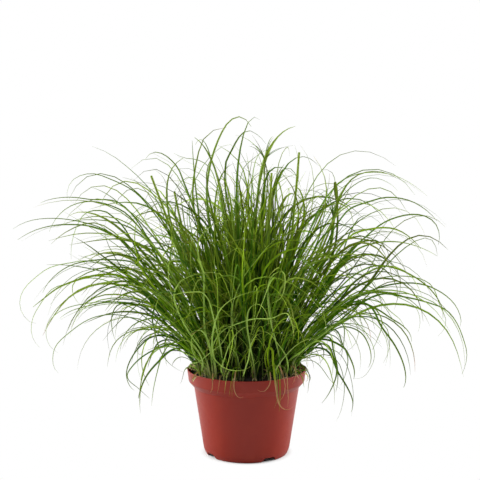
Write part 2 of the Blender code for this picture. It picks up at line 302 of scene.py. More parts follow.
@dataclass(frozen=True)
class BladeFinish:
    """A living sedge blade: grown tissue with parallel veins under a thin coat of wax.

    The wax gives the eye a soft satin gloss, the veins give fine streaks along the blade, and the thin
    tissue glows yellow-green where light comes from behind. Each leaf has a green of its own, and those
    deep inside the plant lie in each other's shade.
    """

    name: str
    shaded: str
    usual: str
    fresh: str
    base: str
    tip: str
    bloom: str = "AECC66"
    olive: str = "9CA632"
    heart: str = "0C1C06"
    glow: str = "DCD648"
    roughness: float = 0.46
    lit_through: float = 0.42
    glow_share: float = 0.275
    # Leaf tissue: a little above water. The wax scatters most of its mirror-like share.
    ior: float = 1.42
    gloss: float = 0.20
    # Mottles 14 mm long, about six times the blade's width, as on a real one
    mottle: float = 14 * MM
    # The veins of a real blade are about 0.2 mm apart. They are drawn at 0.36 mm, 7 across a blade of
    # 2.5 mm, because finer ones blur to nothing in the render.
    veins: int = 7
    vein_height: float = 0.04 * MM
    # The tones of the usual and of the fresh green. The shaded one is at nought, the bloom at one.
    green_tones: tuple[float, float] = (0.45, 0.80)
    # The first reads the mottles' noise, the second how far across the blade a point is.
    mottled: Range = (0.35, 0.75, 0.0, 0.40)
    midrib: Range = (0.22, 0.0, 0.0, 0.35)
    # These read how far along the blade a point is. The base is the first eighth of it.
    sunned: Range = (0.45, 1.0, 0.0, 0.36)
    based: Range = (0.13, 0.02, 0.0, 1.0)
    ended: Range = (0.97, 1.10, 0.0, 1.0)
    # This reads the leaf's tone. The darker leaves have a dark base, this much of it.
    pale_based: Range = (0.38, 0.62, 0.0, 1.0)
    dark_base: float = 0.8
    # These read how dry the leaf is: it turns olive, then dries from its tip, and ever farther.
    aged: Range = (0.30, 0.60, 0.0, 0.25)
    withered: Range = (0.68, 0.95, 0.0, 0.20)
    driest: Range = (0.68, 0.74, 0.0, 1.0)
    longer_dried: Range = (1.0, 1.7, 1.0, 3.2)
    # Where the leaves shade each other: from the outer radius and the greater height on, and fully from
    # the others on
    heart_radius: float = 60 * MM
    core_radius: float = 30 * MM
    heart_height: float = 215 * MM
    core_height: float = 88 * MM
    heart_depth: float = 0.92

    def colour(self, add: Add) -> Socket:
        """The blade's colour, from its root to its tip.

        Args:
            add: add_node for the material's tree.

        Returns:
            The colour's socket.
        """
        along, across, tone, dry = (
            add(Node.ATTRIBUTE, out="Fac", attribute_name=name) for name in KEPT_NUMBERS
        )
        place = add(Node.COORDINATES, out="Object")

        # Each leaf's own green, mottled, with a lighter midrib
        greens = add("ShaderNodeValToRGB", (tone,))
        ramp = greens.node.color_ramp
        ramp.elements[0].color = from_hex(self.shaded)
        ramp.elements[1].color = from_hex(self.bloom)
        for position, code in zip(self.green_tones, (self.usual, self.fresh)):
            ramp.elements.new(position).color = from_hex(code)
        spots = add(Node.NOISE, {"Vector": place, "Scale": 1.0 / self.mottle, "Detail": 3.0}, out="Fac")
        patchy = add(Node.EASE, (spots, *self.mottled))
        mottled = add(Node.MIX, (patchy, greens, from_hex(self.usual)))
        off_middle = add(Node.ABSOLUTE, (across,))
        midrib = add(Node.EASE, (off_middle, *self.midrib))
        ribbed = add(Node.MIX, (midrib, mottled, from_hex(self.fresh)))

        # Olive where it is old, and towards the tip, which has had the most sun
        older = add(Node.EASE, (dry, *self.aged))
        outer = add(Node.EASE, (along, *self.sunned))
        sunned = add(Node.ADD, (outer, older))
        varied = add(Node.MIX, (sunned, ribbed, from_hex(self.olive)))

        # Pale at the root on the lighter leaves, and dark there on the others
        low = add(Node.EASE, (along, *self.based))
        light = add(Node.EASE, (tone, *self.pale_based))
        pale = add(Node.MULTIPLY, (low, light))
        rooted = add(Node.MIX, (pale, varied, from_hex(self.base)))
        rest = add(Node.SUBTRACT, (low, pale))
        sunk = add(Node.MULTIPLY, (rest, self.dark_base))
        rooted = add(Node.MIX, (sunk, rooted, from_hex(self.heart)))

        # Dark in the heart of the plant
        level = add(Node.VECTOR_MULTIPLY, (place, (1.0, 1.0, 0.0)))
        radius = add(Node.VECTOR_LENGTH, (level,))
        inside = add(Node.EASE, (radius, self.heart_radius, self.core_radius))
        height = add(Node.SPLIT, (place,), out="Z")
        reach = (height, self.heart_height, self.core_height, 0.0, self.heart_depth)
        shaded = add(Node.MULTIPLY, (inside, add(Node.EASE, reach)))
        rooted = add(Node.MIX, (shaded, rooted, from_hex(self.heart)))

        # A dried tip on the driest leaves, longer the drier they are
        withered = add(Node.EASE, (dry, *self.withered))
        longer = add(Node.EASE, (dry, *self.longer_dried))
        dead = add(Node.MULTIPLY_ADD, (withered, longer, along))
        end = add(Node.EASE, (dead, *self.ended))
        driest = add(Node.EASE, (dry, *self.driest))
        dried = add(Node.MULTIPLY, (end, driest))
        return add(Node.MIX, (dried, rooted, from_hex(self.tip)))

    def build(self) -> Material:
        """Makes the material.

        Returns:
            The material.
        """
        made, add = new_material(self.name)
        colour = self.colour(add)
        inputs = {
            "Base Color": colour,
            "Roughness": self.roughness,
            "IOR": self.ior,
            "Specular IOR Level": self.gloss,
            "Normal": streaked(add, self.veins, self.vein_height),
        }
        blade = add(Node.PRINCIPLED, inputs)
        warm = (self.glow_share, colour, from_hex(self.glow))
        bright = add(Node.MIX, warm, blend_type="MULTIPLY")
        through = add("ShaderNodeBsdfTranslucent", {"Color": bright})
        add(Node.OUTPUT, {"Surface": add(Node.MIX_SHADERS, (self.lit_through, blade, through))})
        return made


@dataclass(frozen=True)
class SheathFinish:
    """A dead leaf base: dry, papery tissue that has frayed into fibres.

    It gives the eye a dull straw to brown without any gloss, with fine streaks along it.
    """

    name: str = "papery_sheath"
    straw: str = "D8CE8E"
    brown: str = "7A6038"
    roughness: float = 0.75
    blotch: float = 5 * MM
    # How much browner a blotch and the leaf's own tone make it
    blotchy: float = 0.6
    toned: float = 0.9
    palest: float = -0.3
    # Real fibres are about 0.1 mm apart. They are drawn at 0.2 mm, 9 across a sheath of 1.8 mm, so that
    # they show at all.
    fibres: int = 9
    fibre_height: float = 0.06 * MM

    def build(self) -> Material:
        """Makes the material.

        Returns:
            The material.
        """
        made, add = new_material(self.name)
        tone = add(Node.ATTRIBUTE, out="Fac", attribute_name="tone")
        place = add(Node.COORDINATES, out="Object")
        spots = add(Node.NOISE, {"Vector": place, "Scale": 1.0 / self.blotch, "Detail": 3.0}, out="Fac")
        own = add(Node.MULTIPLY_ADD, (tone, self.toned, self.palest))
        share = add(Node.MULTIPLY_ADD, (spots, self.blotchy, own))
        inputs = {
            "Base Color": add(Node.MIX, (share, from_hex(self.straw), from_hex(self.brown))),
            "Roughness": self.roughness,
            "Normal": streaked(add, self.fibres, self.fibre_height),
        }
        add(Node.OUTPUT, {"Surface": add(Node.PRINCIPLED, inputs)})
        return made


@dataclass(frozen=True)
class PotPlastic:
    """Injection-moulded polypropylene, coloured red-brown all through.

    It gives the eye a satin surface with a fine moulded grain, and handling has left it faintly clouded
    and scuffed.
    """

    name: str = "red_brown_polypropylene"
    colour: str = "751A09"
    worn: str = "822611"
    # The fine moulded grain scatters most of the mirror-like share.
    roughness: float = 0.45
    scuffed: float = 0.12
    ior: float = 1.49
    gloss: float = 0.24
    # Clouds the size of a fingertip, and scuffs a few millimetres long. Each shows where its noise is in
    # the upper part of its range, and the clouds only by a third.
    cloud: float = 22 * MM
    clouded: Range = (0.45, 0.80, 0.0, 0.35)
    scuff: float = 3 * MM
    scuffed_noise: tuple[float, float] = (0.5, 0.8)
    # The real grain is about 0.1 mm. It is drawn at 0.5 mm, the finest that still shows in the render.
    grain: float = 0.5 * MM
    grain_height: float = 0.03 * MM

    def build(self) -> Material:
        """Makes the material.

        Returns:
            The material.
        """
        made, add = new_material(self.name)
        place = add(Node.COORDINATES, out="Object")
        clouds, scuffs, grain = (
            add(Node.NOISE, {"Vector": place, "Scale": 1.0 / size, "Detail": detail}, out="Fac")
            for size, detail in ((self.cloud, 4.0), (self.scuff, 5.0), (self.grain, 2.0))
        )
        share = add(Node.EASE, (clouds, *self.clouded))
        dulled = (*self.scuffed_noise, self.roughness, self.roughness + self.scuffed)
        inputs = {
            "Base Color": add(Node.MIX, (share, from_hex(self.colour), from_hex(self.worn))),
            "Roughness": add(Node.EASE, (scuffs, *dulled)),
            "IOR": self.ior,
            "Specular IOR Level": self.gloss,
            "Normal": add(Node.BUMP, {"Strength": 1.0, "Distance": self.grain_height, "Height": grain}),
        }
        add(Node.OUTPUT, {"Surface": add(Node.PRINCIPLED, inputs)})
        return made


@dataclass(frozen=True)
class PottingSoil:
    """Moist potting soil: milled peat with brown fibres.

    It gives the eye an almost black, dull and crumbly ground.
    """

    name: str = "moist_potting_soil"
    dark: str = "120E09"
    light: str = "2A2014"
    roughness: float = 0.92
    # Crumbs of milled peat are 1 to 3 mm, which is coarse enough to show.
    fibre: float = 2.5 * MM
    fibrous: Range = (0.42, 0.72, 0.0, 1.0)
    crumb: float = 1.2 * MM
    crumb_height: float = 0.5 * MM

    def build(self) -> Material:
        """Makes the material.

        Returns:
            The material.
        """
        made, add = new_material(self.name)
        place = add(Node.COORDINATES, out="Object")
        fibres, crumbs = (
            add(Node.NOISE, {"Vector": place, "Scale": 1.0 / size, "Detail": detail}, out="Fac")
            for size, detail in ((self.fibre, 4.0), (self.crumb, 3.0))
        )
        share = add(Node.EASE, (fibres, *self.fibrous))
        inputs = {
            "Base Color": add(Node.MIX, (share, from_hex(self.dark), from_hex(self.light))),
            "Roughness": self.roughness,
            "Normal": add(Node.BUMP, {"Strength": 1.0, "Distance": self.crumb_height, "Height": crumbs}),
        }
        add(Node.OUTPUT, {"Surface": add(Node.PRINCIPLED, inputs)})
        return made


@dataclass(frozen=True)
class StudioFloor:
    """A matt white laminate table.

    The camera sees it as plain white, but for the soft shadow at the pot's foot. Brighter than white, it
    would wash out the thin leaves in front of it.
    """

    name: str = "white_studio_table"
    colour: str = "C8C8C8"
    roughness: float = 0.9
    gloss: float = 0.1
    shadow_radius: float = 38 * MM
    open_radius: float = 48 * MM

    def build(self) -> Material:
        """Makes the material.

        Returns:
            The material.
        """
        made, add = new_material(self.name)
        away = add(Node.VECTOR_LENGTH, (add(Node.COORDINATES, out="Object"),))
        far = add(Node.EASE, (away, self.shadow_radius, self.open_radius))
        seen = add("ShaderNodeLightPath", out="Is Camera Ray")
        open_table = add(Node.MULTIPLY, (seen, far))
        inputs = {
            "Base Color": from_hex(self.colour),
            "Roughness": self.roughness,
            "Specular IOR Level": self.gloss,
        }
        lit = add(Node.PRINCIPLED, inputs)
        plain = add("ShaderNodeEmission", {"Color": WHITE, "Strength": 1.0})
        add(Node.OUTPUT, {"Surface": add(Node.MIX_SHADERS, (open_table, lit, plain))})
        return made


# Strands: the paths that blades follow


@dataclass
class Strand:
    """One path with what a blade swept along it needs at every point."""

    points: list[Vector]
    widths: list[float]
    side: Vector
    tone: float = 0.5
    dry: float = 0.0
    roll: float = 0.0


def strands_object(name: str, strands: list[Strand]) -> Thing:
    """Makes a mesh of open paths that holds each strand's numbers as attributes.

    Args:
        name: the object's name.
        strands: the paths, each from its root to its tip.

    Returns:
        An object in the scene, with edges only.
    """
    places: list[Vector] = []
    edges: list[tuple[int, int]] = []
    for strand in strands:
        first = len(places)
        places += strand.points
        edges += [(first + step, first + step + 1) for step in range(len(strand.points) - 1)]
    mesh = bpy.data.meshes.new(name)
    mesh.from_pydata([tuple(place) for place in places], edges, [])
    numbers = {"wide": [width for strand in strands for width in strand.widths]}
    for key in ("tone", "dry", "roll"):
        numbers[key] = [getattr(strand, key) for strand in strands for _ in strand.points]
    for key, values in numbers.items():
        mesh.attributes.new(key, "FLOAT", "POINT").data.foreach_set("value", values)
    sides = [part for strand in strands for _ in strand.points for part in strand.side]
    mesh.attributes.new("side", "FLOAT_VECTOR", "POINT").data.foreach_set("vector", sides)
    return link_to_scene(bpy.data.objects.new(name, mesh))


def smooth_path(knots: list[Vector], start_heading: Vector, steps: int) -> list[Vector]:
    """Runs a smooth path through a few knots.

    Args:
        knots: the points that it passes.
        start_heading: the direction in which it leaves the first one.
        steps: how many points each span gets.

    Returns:
        The path's points, the last knot included.
    """
    chords = [end - start for start, end in zip(knots, knots[1:])]
    headings = [start_heading.normalized()]
    for before, after in zip(chords, chords[1:]):
        headings.append((before.normalized() + after.normalized()).normalized())
    last = chords[-1].normalized()
    headings.append(2.0 * last.dot(headings[-1]) * last - headings[-1])
    path = []
    for start, end, leaving, arriving in zip(knots, knots[1:], headings, headings[1:]):
        span = (end - start).length
        for step in range(steps):
            t = step / steps
            eased = t * t * (3.0 - 2.0 * t)
            swing = leaving * (t * (1.0 - t) ** 2) - arriving * (t * t * (1.0 - t))
            path.append(start.lerp(end, eased) + swing * span)
    path.append(knots[-1])
    return path


@dataclass
class StalkLine:
    """The centre line of a stalk's solid, read from the frame: the middle of each of its rings."""

    name: str
    azimuth: float
    points: list[Vector]
    widths: list[float]

    # The same for all: how far beside the stalk's upright plane an edge is at least, and how much the
    # distance from the pot's axis counts beside the height in the search for the root
    LEAST_WIDTH = 0.05 * MM
    AXIS_WEIGHT = 0.2
    # Stalks that lean towards the viewer by more than this share of their reach are in front.
    FACING = 0.68

    @classmethod
    def from_node(cls, name: str, node: Thing) -> StalkLine:
        """Reads the line off a node.

        Each ring of the solid has one corner on its left edge. That corner is as far from the stalk's
        upright plane as the stalk is wide, and straight beside the ring's middle. The root is the ring
        nearest to the middle of the soil.

        Args:
            name: the node's name.
            node: the node's object.

        Returns:
            The line, from its root to its tip.
        """
        corners = {tuple(round(part, 6) for part in vertex.co) for vertex in node.data.vertices}
        places = np.array(sorted(corners))
        azimuth = math.atan2(places[:, 1].sum(), places[:, 0].sum())
        outward = places[:, 0] * math.cos(azimuth) + places[:, 1] * math.sin(azimuth)
        beside = places[:, 1] * math.cos(azimuth) - places[:, 0] * math.sin(azimuth)
        edge = beside > cls.LEAST_WIDTH
        rings = [tuple(ring) for ring in np.column_stack((outward, places[:, 2], beside))[edge]]
        current = min(rings, key=lambda ring: abs(ring[1] - SOIL_HEIGHT) + cls.AXIS_WEIGHT * abs(ring[0]))
        ordered = [current]
        rings.remove(current)
        while rings:
            current = min(rings, key=lambda ring: math.dist(ring[:2], current[:2]))
            ordered.append(current)
            rings.remove(current)
        turn = Matrix.Rotation(azimuth, 3, "Z")
        points = [turn @ Vector((ring[0], 0.0, ring[1])) for ring in ordered]
        return cls(name, azimuth, points, [ring[2] for ring in ordered])

    def side(self) -> Vector:
        """The level direction across the stalk's upright plane."""
        return Vector((-math.sin(self.azimuth), math.cos(self.azimuth), 0.0))

    def strand(self) -> Strand:
        """The line as a strand."""
        return Strand(self.points, self.widths, self.side())

    def habits(self) -> tuple[LeafHabit, ...]:
        """Chooses what grows in this line's bunch, by where its solid's tip is.

        Returns:
            The kinds of leaf, the longest first.
        """
        tip = self.points[-1]
        reach = tip.xy.length
        low = tip.z < 140 * MM
        if reach < 80 * MM:
            return (OVER_RIM,)
        # Few in front, so that the culms and the soil show, and few that hang low
        if tip.y < -self.FACING * reach:
            return (replace(FRONT, leaves=4) if low else FRONT, SHORT, SHEATH)
        if low:
            return (replace(HANGING, leaves=3 if tip.z < 90 * MM else 5), SHORT, SHEATH)
        if reach < 180 * MM:
            return (INNER, CURLED, SHORT, SHEATH)
        # The plant is thin on the right and thick on the left, where its leaves also stand up more.
        if tip.x > 140 * MM:
            thin = replace(LONG, leaves=4, half_width=0.85 * MM, shortest=0.38, longest=0.74)
            return (thin, CURLED, SHORT, SHEATH)
        if tip.x < -140 * MM and tip.z > 200 * MM:
            return (replace(LONG, leaves=15, lift=0.45, droop=0.40), CURLED, SHORT, SHEATH)
        return (LONG, CURLED, SHORT, SHEATH)


# Geometry node trees


@dataclass(frozen=True)
class LeafHabit:
    """How one kind of leaf grows in a bunch. Each field but papery is an input of the bunch's tree.

    Angles are in radians and sizes in metres. Lean is the tilt of the whole leaf and spin its turn about
    the root. Lift and droop bend it up or over towards its tip, veer turns it sideways there, and sway is
    how far it wanders. Spin, veer, root_spread and twist are ranges of plus or minus their value. With
    follow at one, the first leaf keeps to the line itself.
    """

    leaves: int
    points: int
    half_width: float
    shortest: float
    longest: float
    spin: float
    lean: float
    lift: float
    droop: float
    sway: float
    veer: float
    root_spread: float
    twist: float
    tone: float
    driest: float
    follow: float = 0.0
    papery: bool = False

    def inputs(self, seed: int) -> dict[str, float]:
        """The tree's inputs by name, but for its material.

        Args:
            seed: the seed of this bunch's random draws.

        Returns:
            Each number by its input's name.
        """
        sizes = {item.name: getattr(self, item.name) for item in fields(self) if item.name != "papery"}
        return {"Seed": seed} | {name.replace("_", " ").title(): value for name, value in sizes.items()}


LONG = LeafHabit(
    leaves=11, points=20, half_width=1.25 * MM, shortest=0.50, longest=1.0, spin=0.52, lean=0.20, lift=0.22,
    droop=0.60, sway=1.6, veer=0.50, root_spread=2.5 * MM, twist=1.5, tone=0.56, driest=0.80, follow=1.0,
)
INNER = replace(
    LONG, leaves=14, shortest=0.45, spin=1.0, lean=0.28, lift=0.25, droop=0.80, veer=0.6, root_spread=3 * MM,
    tone=0.50,
)
CURLED = LeafHabit(
    leaves=3, points=20, half_width=0.80 * MM, shortest=0.3, longest=0.7, spin=1.5, lean=0.30, lift=0.0,
    droop=2.2, sway=2.6, veer=1.8, root_spread=8 * MM, twist=3.0, tone=0.52, driest=0.80,
)
HANGING = replace(
    LONG, leaves=8, half_width=0.95 * MM, shortest=0.55, spin=0.50, lean=0.16, lift=0.35, droop=0.20,
    sway=1.4, root_spread=6 * MM, tone=0.58, driest=0.85,
)
FRONT = replace(
    LONG, leaves=7, points=22, half_width=0.85 * MM, longest=0.95, spin=1.2, lean=0.30, lift=0.70, droop=0.30,
    sway=2.4, veer=1.5, root_spread=3 * MM, twist=2.0, tone=0.40,
)
SHORT = LeafHabit(
    leaves=2, points=14, half_width=0.60 * MM, shortest=0.15, longest=0.40, spin=3.14, lean=0.40, lift=0.2,
    droop=1.2, sway=2.6, veer=2.2, root_spread=9 * MM, twist=1.2, tone=0.50, driest=0.9,
)
THICKET = LeafHabit(
    leaves=9, points=14, half_width=1.15 * MM, shortest=0.35, longest=0.78, spin=3.14, lean=0.30, lift=0.2,
    droop=0.6, sway=1.2, veer=0.9, root_spread=7 * MM, twist=1.2, tone=0.36, driest=0.7,
)
UPRIGHT = LeafHabit(
    leaves=14, points=20, half_width=1.15 * MM, shortest=0.62, longest=0.98, spin=3.14, lean=0.55, lift=0.2,
    droop=0.8, sway=1.5, veer=1.0, root_spread=5 * MM, twist=1.5, tone=0.46, driest=0.8,
)
OVER_RIM = LeafHabit(
    leaves=3, points=16, half_width=0.50 * MM, shortest=0.6, longest=1.0, spin=0.8, lean=0.25, lift=0.3,
    droop=0.3, sway=1.6, veer=0.8, root_spread=9 * MM, twist=2.5, tone=0.60, driest=1.5, follow=1.0,
)
SHEATH = LeafHabit(
    leaves=1, points=6, half_width=0.9 * MM, shortest=0.04, longest=0.12, spin=0.5, lean=0.12, lift=0.0,
    droop=0.2, sway=0.3, veer=0.2, root_spread=6 * MM, twist=0.6, tone=0.50, driest=0.0, papery=True,
)


def new_tree(name: str, inputs: dict[str, str]) -> tuple[Tree, bpy.types.NodeOutputs, Add]:
    """Starts a geometry node tree with named inputs and one geometry output.

    Args:
        name: the tree's name.
        inputs: the kind of each input by its name, such as Float.

    Returns:
        The tree, the sockets that give its inputs by name, and add_node for it.
    """
    tree = bpy.data.node_groups.new(name, "GeometryNodeTree")
    for label, kind in inputs.items():
        tree.interface.new_socket(name=label, in_out="INPUT", socket_type=f"NodeSocket{kind}")
    tree.interface.new_socket(name="Geometry", in_out="OUTPUT", socket_type="NodeSocketGeometry")
    return tree, tree.nodes.new("NodeGroupInput").outputs, partial(add_node, tree)


def finish_tree(add: Add, geometry: Socket, material: Socket) -> None:
    """Ends a tree: makes its instances real, sets its material and sends it out.

    Args:
        add: add_node for the tree.
        geometry: the socket of what was made.
        material: the material's socket.
    """
    real = add("GeometryNodeRealizeInstances", {"Geometry": geometry})
    dressed = add("GeometryNodeSetMaterial", {"Geometry": real, "Material": material})
    add("NodeGroupOutput", {"Geometry": dressed})


def even_curves(add: Add, given: bpy.types.NodeOutputs) -> Socket:
    """Turns a tree's mesh of paths into smooth curves with evenly spaced points.

    Args:
        add: add_node for the tree.
        given: the sockets of the tree's inputs.

    Returns:
        The curves' socket.
    """
    curves = add("GeometryNodeMeshToCurve", {"Mesh": given["Geometry"]})
    rounded = add("GeometryNodeCurveSplineType", {"Curve": curves}, spline_type="CATMULL_ROM")
    return add("GeometryNodeResampleCurve", {"Curve": rounded, "Count": given["Points"]}, mode="COUNT")


@dataclass(frozen=True)
class BladeSection:
    """The cross-section of a blade, one unit half wide: a shallow channel above and a keel below."""

    name: str = "blade_sweep"
    groove: float = 0.32
    keel: float = 0.85
    round_sides: int = 0
    # The section is sharp wherever it is farther across than this, and nowhere if this is past one.
    edge: float = 0.9

    def profile(self, add: Add) -> Socket:
        """Draws the section.

        Args:
            add: add_node for the tree.

        Returns:
            The curve's socket.
        """
        if self.round_sides:
            sizes = {"Resolution": self.round_sides, "Radius": 1.0}
            return add("GeometryNodeCurvePrimitiveCircle", sizes, mode="RADIUS")
        corners = ((-1.0, 0.0, 0.0), (0.0, -self.groove, 0.0), (1.0, 0.0, 0.0), (0.0, -self.keel, 0.0))
        points = {f"Point {place}": corner for place, corner in enumerate(corners, start=1)}
        return add("GeometryNodeCurvePrimitiveQuadrilateral", points, mode="POINTS")

    def build(self) -> Tree:
        """Builds the tree that sweeps the section along curves which hold wide, roll and side.

        Returns:
            The tree, with the inputs Curve and Material.
        """
        tree, given, add = new_tree(self.name, {"Curve": "Geometry", "Material": "Material"})
        side = add(Node.READ_VECTOR, {"Name": "side"})
        roll, wide, across = (
            add(Node.READ_NUMBER, {"Name": name}) for name in ("roll", "wide", "across")
        )
        level = add(Node.SPLIT, (add("GeometryNodeInputPosition"),), out="X")
        numbered = {"Geometry": self.profile(add), "Name": "across", "Value": level}
        outline = add(Node.STORE_NUMBER, numbered)
        turned = add("GeometryNodeSetCurveNormal", {"Curve": given["Curve"], "Normal": side}, mode="FREE")
        rolled = add("GeometryNodeSetCurveTilt", {"Curve": turned, "Tilt": roll})
        share = add("GeometryNodeSplineParameter", out="Factor")
        numbered = {"Geometry": rolled, "Name": "along", "Value": share}
        path = add(Node.STORE_NUMBER, numbered)
        sizes = {"Curve": path, "Profile Curve": outline, "Scale": wide, "Fill Caps": True}
        swept = add("GeometryNodeCurveToMesh", sizes)
        smooth = add("GeometryNodeSetShadeSmooth", {"Geometry": swept}, domain="FACE")
        off_middle = add(Node.ABSOLUTE, (across,))
        on_edge = add(Node.GREATER_THAN, (off_middle, self.edge))
        chosen = {"Geometry": smooth, "Selection": on_edge, "Shade Smooth": False}
        creased = add("GeometryNodeSetShadeSmooth", chosen, domain="EDGE")
        finish_tree(add, creased, given["Material"])
        return tree


def build_strand_tree(sweep: Tree) -> Tree:
    """Builds the tree that turns a mesh of strands into blades.

    Args:
        sweep: the tree of the sweep.

    Returns:
        The tree, with the inputs Geometry, Points and Material.
    """
    inputs = {"Geometry": "Geometry", "Points": "Int", "Material": "Material"}
    tree, given, add = new_tree("strands_to_blades", inputs)
    inputs = {"Curve": even_curves(add, given), "Material": given["Material"]}
    finish_tree(add, add("GeometryNodeGroup", inputs, node_tree=sweep), given["Material"])
    return tree


class BunchTree:
    """The tree that fans one centre line out into a bunch of leaves, each unlike the others."""

    # How wide a leaf is, as a share of its greatest width, at shares of its length
    TAPER = ((0.0, 0.50), (0.12, 0.80), (0.35, 1.0), (0.62, 0.88), (0.85, 0.48), (1.0, 0.06))
    # The random draws of one bunch have seeds next to each other, and bunches are this far apart.
    SEED_STEP = 31.0
    # The power with which a bend grows towards the tip
    LATE = 1.6
    # How much of the slow noise a leaf wanders through, and how far apart in it bunches and leaves are
    WANDER = 2.2
    BUNCH_STEP, LEAF_STEP = 3.7, 9.1
    # What a leaf's own size is drawn from, and how wide the leaf that follows the line itself is
    SIZES = (0.60, 1.30)
    SLIMMER = 0.75
    # How far a leaf's roll, in radians, and its tone are drawn either way
    ROLL = 1.1
    TONES = 0.48
    # Leaves are moved out of the pot from this far above its rim on, and fully from this far below it
    # on, but not at their roots: from a tenth to three tenths of a leaf, the move sets in.
    CLEARING = (6 * MM, -5 * MM)
    ROOTED = (0.1, 0.3)
    LOWEST = (-1.0, -1.0, 6 * MM)
    # What keeps a division from one by nought
    LEAST_RADIUS, LEAST_ROOT_RADIUS = 10 * MM, 1 * MM
    UP = (0.0, 0.0, 1.0)
    LEVEL = (1.0, 1.0, 0.0)

    def __init__(self, sweep: Tree) -> None:
        """Starts the tree, with an input for each field of a habit, and makes a curve for each leaf.

        Args:
            sweep: the tree of the sweep.
        """
        inputs = {"Geometry": "Geometry", "Material": "Material"}
        inputs |= {name: type(value).__name__.title() for name, value in LONG.inputs(0).items()}
        self.sweep = sweep
        self.tree, self.given, self.add = new_tree("leaf_bunch", inputs | dict.fromkeys(POT_EDGE, "Float"))
        self.draws = 0
        self.centre = even_curves(self.add, self.given)
        copies = {"Geometry": self.centre, "Amount": self.given["Leaves"]}
        self.curves = self.add("GeometryNodeDuplicateElements", copies, domain="SPLINE")
        # Which leaf a point belongs to, and how far along it
        self.number = self.curves.node.outputs["Duplicate Index"]
        self.share = self.add("GeometryNodeSplineParameter", out="Factor")
        # Nought for a leaf that follows the line itself, and else one
        free = self.add(Node.SUBTRACT, (1.0, self.given["Follow"]))
        later = self.add(Node.ADD, (self.number, free))
        self.apart = self.add(Node.MINIMUM, (later, 1.0))

    def draw(self, low: float | Socket, high: float | Socket) -> Socket:
        """A random number for each leaf.

        Args:
            low: the least value.
            high: the greatest value.

        Returns:
            The random number's socket.
        """
        self.draws += 1
        own = (self.given["Seed"], self.SEED_STEP, float(self.draws))
        seed = self.add(Node.MULTIPLY_ADD, own)
        return self.add(Node.RANDOM_NUMBER, (low, high, self.number, seed))

    def spread(self, amount: Socket) -> Socket:
        """A random number for each leaf, from minus an amount to plus that amount."""
        return self.add(Node.MULTIPLY, (amount, self.draw(-1.0, 1.0)))

    def distance(self, place: Socket) -> Socket:
        """How far a place is from the pot's axis."""
        level = self.add(Node.VECTOR_MULTIPLY, (place, self.LEVEL))
        return self.add(Node.VECTOR_LENGTH, (level,))

    def widened(self, place: Socket, factor: Socket) -> Socket:
        """A place moved level, to a factor times its distance from the pot's axis."""
        return self.add(Node.VECTOR_MULTIPLY, (place, self.add(Node.COMBINE, (factor, factor, 1.0))))

    def clear_of_pot(self, place: Socket) -> Socket:
        """Moves what is below the rim out of the pot, so that leaves go over the rim and hang outside.

        Args:
            place: the place's socket.

        Returns:
            The corrected place's socket.
        """
        add = self.add
        radius = self.distance(place)
        height = add(Node.SPLIT, (place,), out="Z")
        above = add(Node.SUBTRACT, (height, self.given["Rim Height"]))
        low = add(Node.EASE, (above, *self.CLEARING))
        past_root = add(Node.EASE, (self.share, *self.ROOTED))
        how_much = add(Node.MULTIPLY, (low, past_root))
        inside = add(Node.SUBTRACT, (self.given["Rim Radius"], radius))
        missing = add(Node.MAXIMUM, (inside, 0.0))
        moved = add(Node.MULTIPLY, (missing, how_much))
        longer = add(Node.DIVIDE, (moved, add(Node.MAXIMUM, (radius, self.LEAST_RADIUS))))
        outside = self.widened(place, add(Node.ADD, (1.0, longer)))
        return add(Node.VECTOR_MAXIMUM, (outside, self.LOWEST))

    def headings(self) -> tuple[Socket, Socket]:
        """Which way each leaf grows at each point, and the level direction across it there.

        A leaf grows as the centre line does at the same share of its length, but for its own tilt, a bend
        and a turn that grow towards its tip, and a slow wander.

        Returns:
            The sockets of both directions.
        """
        add, given, share = self.add, self.given, self.share
        spans = add(Node.SUBTRACT, (given["Points"], 1.0))
        half_step = add(Node.DIVIDE, (0.5, spans))
        ahead = {"Curves": self.centre, "Factor": add(Node.ADD, (share, half_step))}
        way = add("GeometryNodeSampleCurve", ahead, out="Tangent", mode="FACTOR")
        side = add(Node.READ_VECTOR, {"Name": "side"})

        # The wander: each leaf reads a strip of slow noise of its own
        own = add(Node.MULTIPLY, (self.number, self.LEAF_STEP))
        strip = add(Node.MULTIPLY_ADD, (given["Seed"], self.BUNCH_STEP, own))
        spot = add(Node.COMBINE, (add(Node.MULTIPLY, (share, self.WANDER)), strip, 0.0))
        wave = add(Node.NOISE, {"Vector": spot, "Scale": 1.0, "Detail": 1.0}, out="Color")
        centred = add(Node.VECTOR_SUBTRACT, (wave, (0.5, 0.5, 0.5)))
        growing = add(Node.MULTIPLY, (given["Sway"], share))
        wander = add(Node.SPLIT, (add(Node.VECTOR_SCALE, (centred, growing)),)).node.outputs

        # The bend up or over, in the leaf's own plane
        late = add(Node.POWER, (share, self.LATE))
        lift = add(Node.MULTIPLY, (given["Lift"], -1.0))
        over = add(Node.MULTIPLY_ADD, (self.draw(lift, given["Droop"]), late, wander["X"]))
        over = add(Node.MULTIPLY, (self.apart, over))
        way = add(Node.TURN, {"Vector": way, "Axis": side, "Angle": over})

        # The tilt of the whole leaf, about any level axis
        bearing = self.draw(0.0, math.tau)
        level = (add(Node.COSINE, (bearing,)), add(Node.SINE, (bearing,)), 0.0)
        lean = add(Node.MULTIPLY, (given["Lean"], self.draw(0.0, 1.0)))
        lean = add(Node.MULTIPLY, (self.apart, lean))
        way = add(Node.TURN, {"Vector": way, "Axis": add(Node.COMBINE, level), "Angle": lean})

